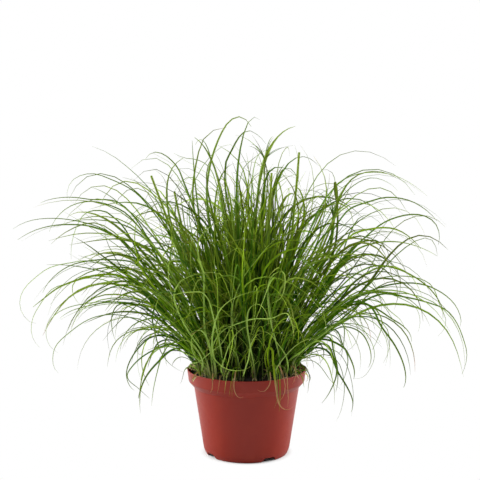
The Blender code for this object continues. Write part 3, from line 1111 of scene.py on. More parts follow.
        # The turn about the root, and the veer towards the tip
        veer = add(Node.MULTIPLY_ADD, (self.spread(given["Veer"]), late, wander["Y"]))
        turn = add(Node.ADD, (self.spread(given["Spin"]), veer))
        turn = add(Node.MULTIPLY, (self.apart, turn))
        heading, level = (
            add(Node.TURN, {"Vector": vector, "Axis": self.UP, "Angle": turn})
            for vector in (way, side)
        )
        return heading, level

    def walked(self, way: Socket) -> Socket:
        """Where each point is, once the leaf has grown that far from its root.

        Args:
            way: the socket of the heading at each point.

        Returns:
            The place's socket.
        """
        add, given = self.add, self.given
        run = add("GeometryNodeCurveLength", {"Curve": self.centre})
        longer = add(Node.SUBTRACT, (self.draw(given["Shortest"], given["Longest"]), 1.0))
        own = add(Node.MULTIPLY_ADD, (self.apart, longer, 1.0))
        length = add(Node.MULTIPLY, (run, own))
        spans = add(Node.SUBTRACT, (given["Points"], 1.0))
        gap = add(Node.DIVIDE, (length, spans))
        steps = {"Value": add(Node.VECTOR_SCALE, (way, gap)), "Group ID": self.number}
        grown = add(
            "GeometryNodeAccumulateField", steps, out="Trailing", data_type="FLOAT_VECTOR", domain="POINT"
        )
        first = {"Curves": self.centre, "Factor": 0.0}
        root = add("GeometryNodeSampleCurve", first, out="Position", mode="FACTOR")
        x, y = (
            add(Node.MULTIPLY, (self.apart, self.spread(given["Root Spread"]))) for _ in "xy"
        )
        start = add(Node.VECTOR_ADD, (root, add(Node.COMBINE, (x, y, 0.0))))
        radius = add(Node.MAXIMUM, (self.distance(start), self.LEAST_ROOT_RADIUS))
        most = add(Node.DIVIDE, (given["Root Radius"], radius))
        start = self.widened(start, add(Node.MINIMUM, (most, 1.0)))
        return self.clear_of_pot(add(Node.VECTOR_ADD, (start, grown)))

    def tapered(self) -> Socket:
        """Each leaf's width along its length, as a share of its greatest.

        Returns:
            The share's socket.
        """
        taper = self.add("ShaderNodeFloatCurve", {"Value": self.share})
        line = taper.node.mapping.curves[0]
        for x, y in self.TAPER[1:-1]:
            line.points.new(x, y)
        line.points[0].location = self.TAPER[0]
        line.points[-1].location = self.TAPER[-1]
        taper.node.mapping.update()
        return taper

    def build(self) -> Tree:
        """Builds the tree.

        Returns:
            The tree, whose inputs are a habit's fields by name.
        """
        add, given = self.add, self.given
        way, side = self.headings()
        place = self.walked(way)
        size = add(Node.MULTIPLY, (given["Half Width"], self.draw(*self.SIZES)))
        slimmer = add(Node.MULTIPLY_ADD, (self.apart, 1.0 - self.SLIMMER, self.SLIMMER))
        size = add(Node.MULTIPLY, (size, slimmer))
        twist = add(Node.MULTIPLY, (self.apart, self.spread(given["Twist"])))
        numbers = {
            "wide": add(Node.MULTIPLY, (size, self.tapered())),
            "roll": add(Node.MULTIPLY_ADD, (twist, self.share, self.draw(-self.ROLL, self.ROLL))),
            "tone": add(Node.MULTIPLY_ADD, (self.apart, self.draw(-self.TONES, self.TONES), given["Tone"])),
            "dry": self.draw(0.0, given["Driest"]),
            "side": side,
        }
        leaves = self.curves
        for name, value in numbers.items():
            kind = Node.STORE_VECTOR if name == "side" else Node.STORE_NUMBER
            leaves = add(kind, {"Geometry": leaves, "Name": name, "Value": value})
        moved = add("GeometryNodeSetPosition", {"Geometry": leaves, "Position": place})
        inputs = {"Curve": moved, "Material": given["Material"]}
        finish_tree(add, add("GeometryNodeGroup", inputs, node_tree=self.sweep), given["Material"])
        return self.tree


def run_tree(source: Thing, tree: Tree, values: dict) -> Thing:
    """Runs a geometry node tree on an object and keeps the result as a plain mesh.

    Args:
        source: the object that the tree starts from. It is taken away afterwards.
        tree: the tree.
        values: the modifier's inputs by name.

    Returns:
        A new object with the source's name.
    """
    modifier = source.modifiers.new("Shape", "NODES")
    modifier.node_group = tree
    keys = {item.name: item.identifier for item in tree.interface.items_tree if item.in_out == "INPUT"}
    for label, value in values.items():
        modifier[keys[label]] = value
    return plain_copy(source)


def plain_copy(source: Thing, *helpers: Thing) -> Thing:
    """Replaces an object with a plain mesh that has the shape of its modifiers.

    Args:
        source: the object, which is taken away.
        *helpers: objects that its modifiers use, which are taken away too.

    Returns:
        A new object with the source's name.
    """
    name = source.name
    graph = bpy.context.evaluated_depsgraph_get()
    mesh = bpy.data.meshes.new_from_object(source.evaluated_get(graph), depsgraph=graph)
    for thing in (source, *helpers):
        bpy.data.objects.remove(thing)
    mesh.name = name
    return link_to_scene(bpy.data.objects.new(name, mesh))


# Pot and soil


@dataclass(frozen=True)
class NurseryPot:
    """The thin-walled pot: a flared wall with a collar and a rim band, a foot ring and drain notches."""

    height: float = 86.4 * MM
    rim_radius: float = 60.0 * MM
    band_foot_radius: float = 58.5 * MM
    band_height: float = 11.8 * MM
    collar_drop: float = 6.0 * MM
    collar_lip: float = 0.9 * MM
    wall_top_radius: float = 53.1 * MM
    wall_foot_radius: float = 43.4 * MM
    wall_foot_height: float = 5.0 * MM
    foot_radius: float = 41.2 * MM
    wall: float = 1.1 * MM
    ring_width: float = 2.2 * MM
    floor_underside: float = 3.0 * MM
    floor_top: float = 4.2 * MM
    steps: int = 160
    round_steps: int = 4
    notches: int = 4
    notch_azimuth: float = math.radians(-148.0)
    notch_height: float = 4.4 * MM
    notch_foot: float = 17.0 * MM
    notch_top: float = 11.0 * MM
    # How far a notch's cutting block reaches inside the foot and outside the wall
    notch_inside: float = 5.2 * MM
    notch_outside: float = 6.6 * MM
    sharp_angle: float = math.radians(32.0)

    def outline(self) -> list[tuple[float, float]]:
        """The wall's rounded outline as (radius, height), from the floor's centre over the lip and back.

        Returns:
            The points, each corner turned into a short curve.
        """
        band = self.height - self.band_height
        collar = band - self.collar_drop
        ring = self.foot_radius - self.ring_width
        # The radius and height of each corner, and how many millimetres its rounding takes of each side
        corners = (
            (0.0, self.floor_top, 0.0),
            (self.wall_foot_radius - self.wall, self.floor_top, 1.0),
            (self.wall_top_radius - self.wall, collar, 1.0),
            (self.band_foot_radius - self.wall, band, 1.0),
            (self.rim_radius - self.wall, self.height, 0.5),
            (self.rim_radius, self.height, 0.5),
            (self.band_foot_radius, band, 0.7),
            (self.wall_top_radius + self.collar_lip, collar + self.collar_lip, 0.8),
            (self.wall_top_radius, collar, 0.5),
            (self.wall_foot_radius, self.wall_foot_height, 2.5),
            (self.foot_radius, 0.0, 1.2),
            (ring, 0.0, 0.4),
            (ring, self.floor_underside, 0.4),
            (0.0, self.floor_underside, 0.0),
        )
        points = [corners[0][:2]]
        for before, here, after in zip(corners, corners[1:], corners[2:]):
            corner = Vector(here[:2])
            ways = [Vector(near[:2]) - corner for near in (before, after)]
            start, end = (corner + way.normalized() * min(here[2] * MM, 0.45 * way.length) for way in ways)
            for step in range(self.round_steps + 1):
                t = step / self.round_steps
                place = start * (1 - t) ** 2 + corner * 2 * t * (1 - t) + end * t**2
                points.append((place.x, place.y))
        return points + [corners[-1][:2]]

    def shell(self) -> Thing:
        """The turned pot without its notches.

        Returns:
            The object, in the scene.
        """
        outline = self.outline()
        mesh = bmesh.new()
        rings = []
        for radius, height in outline[1:-1]:
            angles = [math.tau * step / self.steps for step in range(self.steps)]
            corners = [(radius * math.cos(angle), radius * math.sin(angle), height) for angle in angles]
            rings.append([mesh.verts.new(corner) for corner in corners])
        for lower, upper in zip(rings, rings[1:]):
            for step in range(self.steps):
                after = (step + 1) % self.steps
                mesh.faces.new((lower[step], lower[after], upper[after], upper[step]))
        for ring, (_, height) in ((rings[0], outline[0]), (rings[-1], outline[-1])):
            middle = mesh.verts.new((0.0, 0.0, height))
            for step in range(self.steps):
                mesh.faces.new((middle, ring[step], ring[(step + 1) % self.steps]))
        bmesh.ops.recalc_face_normals(mesh, faces=mesh.faces)
        return from_bmesh("nursery_pot", mesh)

    def notch(self, azimuth: float) -> Thing:
        """A tapered block that cuts one drain notch.

        Args:
            azimuth: where the notch is.

        Returns:
            The block, in the scene.
        """
        block = bmesh.new()
        bmesh.ops.create_cube(block, size=1.0)
        outer, inner = self.wall_foot_radius + self.notch_outside, self.foot_radius - self.notch_inside
        # The block goes as far below the table as the notch is high, and widens on its way down.
        lowest_width = 2.0 * self.notch_foot - self.notch_top
        for vertex in block.verts:
            top = vertex.co.z > 0
            vertex.co.x = outer if vertex.co.x > 0 else inner
            vertex.co.y *= self.notch_top if top else lowest_width
            vertex.co.z = self.notch_height if top else -self.notch_height
        bmesh.ops.rotate(block, verts=block.verts, matrix=Matrix.Rotation(azimuth, 3, "Z"))
        return from_bmesh("notch", block)

    def build(self, finish: Material) -> Thing:
        """Makes the pot in place of its solid.

        Args:
            finish: the pot's material.

        Returns:
            The finished piece.
        """
        shell = self.shell()
        azimuths = [self.notch_azimuth + math.tau * place / self.notches for place in range(self.notches)]
        cutters = [self.notch(azimuth) for azimuth in azimuths]
        for cutter in cutters:
            cut = shell.modifiers.new("Notch", "BOOLEAN")
            cut.operation = "DIFFERENCE"
            cut.solver = "EXACT"
            cut.object = cutter
        pot = plain_copy(shell, *cutters)
        pot.data.materials.clear()
        pot.data.materials.append(finish)
        pot.data.shade_smooth()
        pot.data.set_sharp_from_angle(angle=self.sharp_angle)
        settle(pot, Slot.POT, "pot")
        return pot


@dataclass(frozen=True)
class SoilCrumbs:
    """Loose crumbs of soil that lie on the soil's solid."""

    radius: float = 56.0 * MM
    disc_sides: int = 48
    sunk: float = 0.9 * MM
    dome: float = 2.0 * MM
    crumb: float = 1.35 * MM
    least: tuple[float, float, float] = (0.35, 0.35, 0.25)
    greatest: tuple[float, float, float] = (1.3, 1.1, 0.8)
    per_square_metre: float = 210000.0
    seed: int = 4
    size_seed: int = 3
    turn_seed: int = 5

    def disc(self) -> Thing:
        """A gently domed disc just under the soil's surface.

        Returns:
            The object, in the scene.
        """
        mesh = bmesh.new()
        sizes = {"segments": self.disc_sides, "radius": self.radius}
        bmesh.ops.create_circle(mesh, cap_ends=True, cap_tris=True, **sizes)
        for vertex in mesh.verts:
            share = vertex.co.xy.length / self.radius
            vertex.co.z = SOIL_HEIGHT - self.sunk + self.dome * (1.0 - share * share)
        return from_bmesh("soil_crumbs", mesh)

    def tree(self) -> Tree:
        """Builds the tree that scatters crumbs over a surface.

        Returns:
            The tree, with the inputs Geometry, Density, Crumb, Seed and Material.
        """
        sizes = {"Density": "Float", "Crumb": "Float", "Seed": "Int"}
        inputs = {"Geometry": "Geometry", "Material": "Material"} | sizes
        tree, given, add = new_tree("scattered_crumbs", inputs)
        surface = {"Mesh": given["Geometry"], "Density": given["Density"], "Seed": given["Seed"]}
        spots = add("GeometryNodeDistributePointsOnFaces", surface)
        ball = add("GeometryNodeMeshIcoSphere", {"Radius": given["Crumb"], "Subdivisions": 1})
        size = add(Node.RANDOM_VECTOR, (self.least, self.greatest, None, self.size_seed))
        turn = add(Node.RANDOM_VECTOR, (None, (math.tau,) * 3, None, self.turn_seed))
        placed = {"Points": spots, "Instance": ball, "Scale": size, "Rotation": turn}
        finish_tree(add, add("GeometryNodeInstanceOnPoints", placed), given["Material"])
        return tree

    def build(self, finish: Material) -> Thing:
        """Scatters the crumbs.

        Args:
            finish: the soil's material.

        Returns:
            The finished piece.
        """
        values = {"Density": self.per_square_metre, "Crumb": self.crumb, "Seed": self.seed}
        piece = run_tree(self.disc(), self.tree(), values | {"Material": finish})
        settle(piece, Slot.SOIL)
        return piece


# The plant


@dataclass(frozen=True)
class SeenLeaf:
    """One leaf that stands out in the photograph, followed there from its lowest point in view.

    The root is in millimetres on the soil, the depth of the tip in millimetres behind the pot's axis, and
    the trace in pixels of the photograph. The leaf moves from its root's depth to its tip's as it grows,
    with the bend as the power. Half_width and head are in millimetres, and head is how far the leaf
    swells into a folded head close to its tip.
    """

    root: tuple[float, float]
    tip_depth: float
    trace: tuple[tuple[float, float], ...]
    half_width: float = 1.0
    tone: float = 0.5
    dry: float = 0.0
    bend: float = 1.2
    roll: float = 0.9
    head: float = 0.0

    # The same for all: where the head is and how long, as shares of the leaf, how steeply the leaf leaves
    # the soil, how it thins towards its tip, and how many points each span gets
    HEAD_PLACE, HEAD_LENGTH = 0.90, 0.14
    STEEPNESS = 0.25
    THINNED, THIN_POWER = 0.85, 2.6
    SPAN_POINTS = 4

    def strand(self, camera: PhotoCamera) -> Strand:
        """The path and the widths of the leaf.

        Args:
            camera: the camera that sees it as the photograph does.

        Returns:
            The strand.
        """
        root = Vector((self.root[0] * MM, self.root[1] * MM, SOIL_HEIGHT))
        flat = [camera.point(column, row, root.y) for column, row in self.trace]
        runs = [(b - a).length for a, b in zip([root] + flat, flat)]
        points = [root]
        done = 0.0
        for (column, row), run in zip(self.trace, runs):
            done += run / sum(runs)
            depth = root.y + (self.tip_depth * MM - root.y) * done**self.bend
            points.append(camera.point(column, row, depth))
        way = points[-1] - points[0]
        side = Vector((-way.y, way.x, 0.0)).normalized()
        steep = Vector((self.STEEPNESS * way.x, self.STEEPNESS * way.y, way.length))
        points = smooth_path(points, steep, self.SPAN_POINTS)
        shares = [place / (len(points) - 1) for place in range(len(points))]
        swell = [math.exp(-(((share - self.HEAD_PLACE) / self.HEAD_LENGTH) ** 2)) for share in shares]
        taper = [1.0 - self.THINNED * share**self.THIN_POWER for share in shares]
        widths = [(self.half_width * thin + self.head * bulge) * MM for thin, bulge in zip(taper, swell)]
        roll = self.roll * way.x / way.xy.length
        return Strand(points, widths, side, self.tone, self.dry, roll)


SEEN_LEAVES = (
    # above the mass
    SeenLeaf((-18, 8), 30, ((212, 270), (193.8, 208.9), (184.2, 183.3), (175.6, 164.8), (155.5, 152.1),
        (145.3, 159.1))),
    SeenLeaf((-8, 5), 20, ((228, 230), (218.6, 180), (211.6, 161), (203.3, 145.7), (194.4, 137.4))),
    SeenLeaf((-20, 0), 0, ((206, 270), (197.6, 205.7), (193.8, 167.4), (192.2, 140.6)), 1.1),
    SeenLeaf((-10, -5), -30, ((226, 240), (217, 186), (209, 166.8), (198, 160), (184, 157.8),
        (174, 153.4)), 0.7),
    SeenLeaf((-2, 4), 40, ((234, 240), (225.6, 164.8), (232.7, 148.3), (240.9, 134.9), (248, 130.4),
        (256.9, 134.2), (265.8, 143.8))),
    SeenLeaf((2, 0), -20, ((240, 230), (242.9, 169.3), (255.6, 156.6), (269, 148.3)), 0.8),
    SeenLeaf((14, 6), 30, ((266, 230), (276, 178.9), (284.3, 164.2)), 1.0),
    # right
    SeenLeaf((34, 10), 40, ((318, 240), (346, 192), (370, 178), (385, 181), (397.7, 190.7)), 0.55),
    SeenLeaf((36, 4), -20, ((312, 290), (346.8, 211.3), (370, 201.4), (386, 197.4), (409.3, 200.5),
        (425.4, 209.5), (437, 221))),
    SeenLeaf((38, -6), -50, ((330, 280), (378, 226.4), (395.9, 217.5), (416.4, 214.4), (429.8, 218.4),
        (437.9, 228.2), (438.3, 245))),
    SeenLeaf((36, -12), -60, ((322, 282), (351.3, 235.4), (370, 229.1), (391.4, 228.2), (404.8, 233.6),
        (420.9, 248.8)), 1.3, 0.75),
    SeenLeaf((40, 0), 10, ((328, 286), (355.7, 250.5), (373.6, 243.4), (394, 241.6), (413.8, 245.2),
        (437, 255.9)), 1.0, 0.7),
    SeenLeaf((42, -8), -60, ((336, 292), (370, 267), (391, 267), (426, 285.2), (441.6, 306.3),
        (443, 318)), 1.0, 0.65),
    SeenLeaf((44, 6), 0, ((340, 310), (378, 288), (412, 283), (433, 288), (454, 303.5), (461, 320),
        (460, 326.6)), 0.9),
    SeenLeaf((46, -4), -20, ((330, 330), (370, 298), (384, 293.7), (402, 296.5), (426, 302), (448.6, 312),
        (465.4, 345.6), (466.8, 356.8), (461.9, 374.3)), 1.0, 0.55),
    SeenLeaf((44, -14), -60, ((330, 320), (352, 302), (370, 306), (381, 326), (395, 345.6), (403.7, 365),
        (405.8, 379), (403.7, 387.7)), 1.2, 0.5),
    SeenLeaf((24, 8), 30, ((318, 240), (336.1, 185.4), (355.7, 174.6), (377, 172.4), (395.9, 176),
        (413.8, 185.4), (427, 196)), 0.55, 0.7),
    SeenLeaf((26, -6), -30, ((318, 290), (330, 262), (335, 246), (337.5, 225), (337.3, 205), (336, 192),
        (335, 182)), 1.5, 0.15, roll=1.3, head=2.1),
    SeenLeaf((26, -6), -28, ((318, 290), (330, 262), (335, 246), (337, 225), (337, 205), (335.6, 190),
        (333.5, 175), (329.5, 170.5), (321, 170)), 0.8, 0.3),
    # left
    SeenLeaf((-40, 0), -20, ((160, 290), (124.8, 243.2), (110.5, 233.6), (91.3, 226.4), (67.4, 224.5),
        (51, 225.9), (33.9, 230.7), (17.7, 239.8))),
    SeenLeaf((-38, 8), -30, ((150, 280), (118, 238), (100.9, 227.8), (77, 221), (53, 218.3), (29, 221),
        (13, 229)), 0.7),
    SeenLeaf((-36, -8), -30, ((160, 262), (130, 212), (115, 201), (91.3, 199.6), (72, 197.2), (53, 198.7),
        (40, 203)), 0.8),
    SeenLeaf((-34, 6), 20, ((164, 270), (128, 215), (105.7, 203.9), (86.6, 201.5), (67.4, 207.8),
        (55, 220), (49.2, 231.7)), 0.8),
    SeenLeaf((-40, 14), 40, ((150, 276), (108, 213), (86.6, 212.5), (78.9, 222), (72.2, 241),
        (71.2, 259.4)), 0.8),
    SeenLeaf((-42, -6), -40, ((160, 296), (134.4, 263.3), (115.3, 259.9), (92.3, 260.4), (69.3, 266),
        (51, 279.5), (42.5, 292.9)), 0.9),
    SeenLeaf((-44, 4), 0, ((150, 300), (120, 277), (96, 270), (71, 265.6), (46.8, 264.7)), 0.8),
    SeenLeaf((-44, -10), -60, ((160, 305), (140, 286), (120, 275.7), (100.9, 274.7), (78.9, 279.5),
        (57.8, 288), (43.5, 298.7), (33, 307)), 1.4, 0.7),
    SeenLeaf((-46, 6), 10, ((160, 320), (142, 306), (124.8, 302.5), (105.7, 302.5), (86.6, 306.3),
        (71, 311), (59.8, 318.3)), 0.9),
    SeenLeaf((-45, -4), -30, ((160, 316), (136, 287), (115.3, 286.2), (96, 295.8), (81.8, 306.3),
        (68.4, 330)), 0.9),
    SeenLeaf((-28, 10), 50, ((172, 262), (140, 222), (120, 203.9), (105.7, 193.4), (91.3, 187.2)), 0.7),
    SeenLeaf((-26, 4), 20, ((186, 262), (153, 211.8), (134.7, 191.9), (111.7, 179.7), (90.3, 173.6),
        (71.9, 181), (67.3, 199.6)), 0.7),
    SeenLeaf((-20, -4), -20, ((196, 262), (172, 212), (159, 196.5), (145.4, 185.8), (122.5, 177.4)), 0.7),
    # thin loops far out
    SeenLeaf((-44, 8), 20, ((150, 300), (110, 268), (86.5, 260.8), (70.4, 262.8), (49.3, 267.8),
        (36.2, 276.9), (24.1, 289), (19.7, 301), (22.1, 313), (30.2, 322), (36.2, 323.6)), 0.5, 0.7),
    SeenLeaf((-46, -6), -20, ((150, 310), (110, 282), (88, 278), (70.4, 282.9), (52.3, 289), (41.2, 303),
        (33.2, 317), (31.2, 331), (34.2, 341), (40.2, 348)), 0.5, 0.7),
    SeenLeaf((-46, 2), 10, ((155, 325), (120, 303), (90, 303), (60.4, 311), (48.3, 323), (45.9, 333),
        (49.3, 345), (58.4, 353)), 0.5, 0.6),
    SeenLeaf((-48, -12), -50, ((160, 335), (125, 316), (95, 317), (66.4, 335), (55.3, 347), (52.7, 359),
        (54.3, 368), (58.4, 373)), 0.5, 0.6),
    SeenLeaf((-40, -10), -50, ((160, 300), (135, 280), (108.7, 276.9), (80.5, 277.9), (72.8, 285),
        (73.4, 295), (80.5, 305)), 0.7, 0.8),
    SeenLeaf((-42, 0), -40, ((160, 325), (135, 305), (118, 305), (111.7, 317), (111.7, 327),
        (115.7, 341)), 0.75, 0.4),
    SeenLeaf((44, -8), -50, ((315, 345), (342, 327), (360, 332), (369, 346), (371, 360), (368, 368)), 0.8,
        0.6),
    SeenLeaf((42, 4), -20, ((318, 335), (350, 303), (374, 308), (382, 322), (378, 338), (372, 350)), 0.8,
        0.7),
    SeenLeaf((42, -2), 20, ((320, 325), (360, 296), (385, 293), (400, 298), (416, 308), (420, 320),
        (418, 332)), 0.6, 0.6),
    SeenLeaf((40, 6), -30, ((325, 310), (365, 283), (400, 276), (430, 284), (440, 306), (446, 322),
        (438, 336)), 0.6, 0.7),
    # hanging at the sides
    SeenLeaf((-48, -10), -60, ((186, 350), (174.2, 349), (158.3, 361.8), (145.5, 377.7), (139.9, 392),
        (138.3, 398.4)), 1.2, 0.5),
    SeenLeaf((-48, 4), -20, ((186, 350), (172.6, 336.3), (151.9, 337), (139.1, 347.4), (129.6, 361.8),
        (126.4, 374.5), (129.6, 385.7), (134.3, 390.5)), 0.9, 0.35),
    SeenLeaf((-46, 10), 10, ((176, 345), (150, 352), (131, 368), (127.2, 376.9), (139.1, 388.9),
        (149.5, 398.4)), 0.9, 0.35),
    SeenLeaf((47, -12), -50, ((308, 352), (325.7, 344.2), (333.7, 358.6), (336.8, 371.3), (330.5, 390.5),
        (321.7, 403.2)), 1.2, 0.5),
    SeenLeaf((46, 2), -10, ((318, 340), (343.2, 347.4), (349.6, 357), (354.4, 371.3), (353.6, 379.3)),
        1.2, 0.5),
    SeenLeaf((48, -8), -40, ((308, 350), (326, 350), (338.4, 372.9), (348, 388.9), (352.8, 401.6),
        (351.2, 412)), 1.1, 0.4),
    # in front of the mass, paler
    SeenLeaf((-30, -34), -126, ((205, 330), (203.9, 295.7), (203.4, 272.7), (199, 259.3), (198, 243),
        (206, 230), (222, 221), (236, 221)), 1.0, 1.0),
    SeenLeaf((-22, -36), -162, ((214, 320), (203, 292.8), (191, 292), (180, 293.3), (168, 297)), 0.9, 1.0),
    SeenLeaf((-36, -30), -144, ((182, 320), (174, 296), (180, 282), (191.5, 275.6), (208.7, 272.2),
        (223, 275.6)), 0.8, 1.0),
    SeenLeaf((-8, -38), -108, ((232, 310), (242, 279.4), (255.6, 261), (270.9, 243), (285.3, 232.5)), 0.8,
        1.0),
    SeenLeaf((34, -32), -144, ((268, 300), (272, 276), (283, 271.8), (285, 284), (281, 297.6),
        (272, 303)), 0.7, 1.0),
    SeenLeaf((-30, -36), -162, ((212, 345), (214.4, 325.4), (220, 310), (229.8, 300.5), (241, 294.8),
        (256.5, 291)), 1.0, 1.0),
    SeenLeaf((-34, -34), -162, ((212, 348), (222, 331), (237.4, 323.5), (254.6, 318.7), (270, 318.7),
        (287, 313.4), (291, 321.6), (293.9, 336)), 0.9, 1.0),
    SeenLeaf((8, -40), -126, ((250, 345), (247, 320), (250, 308), (258, 304), (266, 312), (268, 326)),
        0.7, 1.0),
    SeenLeaf((22, -36), -126, ((268, 350), (282, 320), (292, 318), (298, 330), (297, 346)), 0.8, 0.8),
    # thin curls low at the sides
    SeenLeaf((40, 2), -10, ((335, 315), (356, 303.8), (368.8, 305.2), (380, 310.8), (391.3, 318.5),
        (402.5, 325.6), (409.6, 333.3), (411.7, 341.7)), 1.1, 0.5),
    SeenLeaf((42, 8), 10, ((325, 330), (338, 314), (350.5, 316.4), (357.5, 323.5), (366, 333.3),
        (373, 346), (374.4, 357.2), (370.2, 368.5), (363.1, 376.9), (354, 378.6)), 0.5, 0.6),
    SeenLeaf((44, 0), -30, ((318, 345), (328, 330), (336.4, 330.5), (342, 343), (347.7, 357.2),
        (346.3, 371.3), (340.6, 385.3)), 0.8, 0.5),
    SeenLeaf((46, -6), -36, ((312, 348), (322, 338), (329.4, 337.5), (333.6, 351.6), (337.1, 365.7),
        (337.8, 379.7), (335.7, 392.4)), 1, 0.6),
    SeenLeaf((44, 4), 0, ((322, 335), (338, 321), (343.5, 326.3), (344.2, 337.5), (342, 348.8),
        (337.8, 354.4)), 0.8, 0.5),
    SeenLeaf((40, 10), 30, ((330, 320), (360, 300), (380, 302.4), (391.3, 312.2), (401, 320.6),
        (405, 330)), 0.75, 0.6),
    SeenLeaf((-46, 2), -20, ((186, 352), (172.5, 338.4), (162.7, 335.9), (152.8, 336.3), (143, 341.3),
        (136.7, 349.7)), 0.9, 0.4),
    SeenLeaf((-44, -4), -50, ((180, 335), (165, 305), (157, 305), (152.5, 316), (154.3, 330),
        (161.3, 352.5), (169.7, 363.8), (183.8, 372.2)), 0.9, 0.5),
    SeenLeaf((-48, -6), -40, ((186, 352), (170, 340), (158.5, 342.7), (152.8, 352.5), (150, 359.5),
        (147.9, 367.3)), 0.9, 0.3),
    SeenLeaf((-48, 0), 0, ((190, 358), (182, 348), (172.5, 345.5), (164, 344), (157, 346.6),
        (147.2, 350.4)), 0.75, 0.5),
    # pale curls across the base
    SeenLeaf((-38, -30), -96, ((192, 350), (193, 334), (200, 330), (207, 338), (213.2, 356.9),
        (224, 367.7), (236.7, 370.8), (248.5, 367.7), (254.8, 358.7)), 0.8, 1.0, 0.0, 0.6),
    SeenLeaf((-46, -22), -96, ((190, 364), (197, 362.3), (211.4, 351.4), (222.3, 342.4), (231.3, 326),
        (238, 314)), 0.9, 1.0, 0.0, 0.6),
    SeenLeaf((-44, -26), -96, ((202, 360), (197, 349.6), (190, 342), (182, 340), (176, 345)), 1, 1.0, 0.0,
        0.6),
    SeenLeaf((-22, -42), -96, ((221, 368), (223.2, 362.3), (229.5, 344.2), (236.7, 333.4), (247.6, 326),
        (256, 327)), 0.85, 1.0, 0.0, 0.6),
    SeenLeaf((-4, -44), -96, ((244, 373), (248.5, 358.7), (251.2, 344.2), (256.6, 335.2), (263, 333)),
        0.9, 1.0, 0.0, 0.6),
    SeenLeaf((40, -28), -96, ((288, 366), (285.5, 355), (276.5, 342), (268.4, 333), (258, 331)), 0.85,
        1.0, 0.0, 0.6),
    SeenLeaf((30, -36), -96, ((276, 370), (280, 362.3), (291, 349.6), (300, 342.4), (312.6, 338.8),
        (320, 342)), 0.85, 1.0, 0.0, 0.6),
    # over the rim, with dried tips
    SeenLeaf((20, -38), -62, ((266, 350), (269.5, 347), (273.1, 363.6), (274.8, 377.4), (276.6, 391.2),
        (278.3, 401.6), (281.7, 407.6), (286.9, 409.7), (292.9, 406.7)), 1.1, 0.8, 1.3, 0.35),
    SeenLeaf((30, -38), -64, ((279, 366), (282.6, 374), (285.2, 387.8), (283.4, 395.5), (279.1, 401.6)),
        0.55, 0.8, 1.8, 0.35),
    SeenLeaf((22, -42), -62, ((270, 372), (270.5, 380.9), (267.1, 388.6), (262.8, 391.6), (257.6, 389.5)),
        0.5, 0.8, 1.8, 0.35),
    SeenLeaf((-10, -44), -64, ((236, 370), (235, 376), (233.9, 384.3), (235.6, 393.8), (239.5, 397.7),
        (243.4, 396.4)), 0.55, 0.8, 1.6, 0.35),
    SeenLeaf((-32, -36), -58, ((213, 374), (212.5, 380), (211.9, 389.5), (210.2, 393)), 0.5, 0.8, 1.8, 0.35),
    SeenLeaf((-26, -40), -60, ((220, 376), (219.4, 382), (217.1, 393.8)), 0.4, 0.8, 1.8, 0.35),
    SeenLeaf((44, -24), -42, ((293, 366), (294.7, 368.8), (295.5, 375.7), (292.1, 384.3)), 0.5, 0.8, 1.8,
        0.35),
    SeenLeaf((50, -12), -20, ((304, 366), (307.6, 371.4), (310.2, 377.4), (309.7, 380.9)), 0.6, 0.2, 0.0,
        0.35),
    SeenLeaf((-46, -24), -44, ((198, 372), (195.5, 375.3), (202.4, 375.3), (205, 374.4)), 0.7, 0.8, 1.9,
        0.35),
)


@dataclass(frozen=True)
class CulmShape:
    """The sizes of one form of culm."""

    half_width: float
    spindle: float = 0.0
    bracts: int = 0


class CulmForm(Enum):
    """A culm ends cut or closed, in a folded spindle that opens, or in one slender arching bract."""

    BLUNT = CulmShape(1.45 * MM)
    SPINDLE = CulmShape(1.0 * MM, 1.1 * MM, 6)
    SLENDER = CulmShape(1.0 * MM, 0.15 * MM, 1)


CULM_FORMS = {f"culm_{number:02d}": CulmForm.SLENDER for number in (4, 5, 6, 10)}
CULM_FORMS |= {f"culm_{number:02d}": CulmForm.BLUNT for number in (2, 3, 8, 9)}
CULM_FORMS |= {f"culm_{number:02d}": CulmForm.SPINDLE for number in (1, 7)}


@dataclass(frozen=True)
class Means:
    """The node trees and the materials that the plant is grown with."""

    bunch: Tree
    blades: Tree
    stems: Tree
    green: Material
    culm_green: Material
    straw: Material


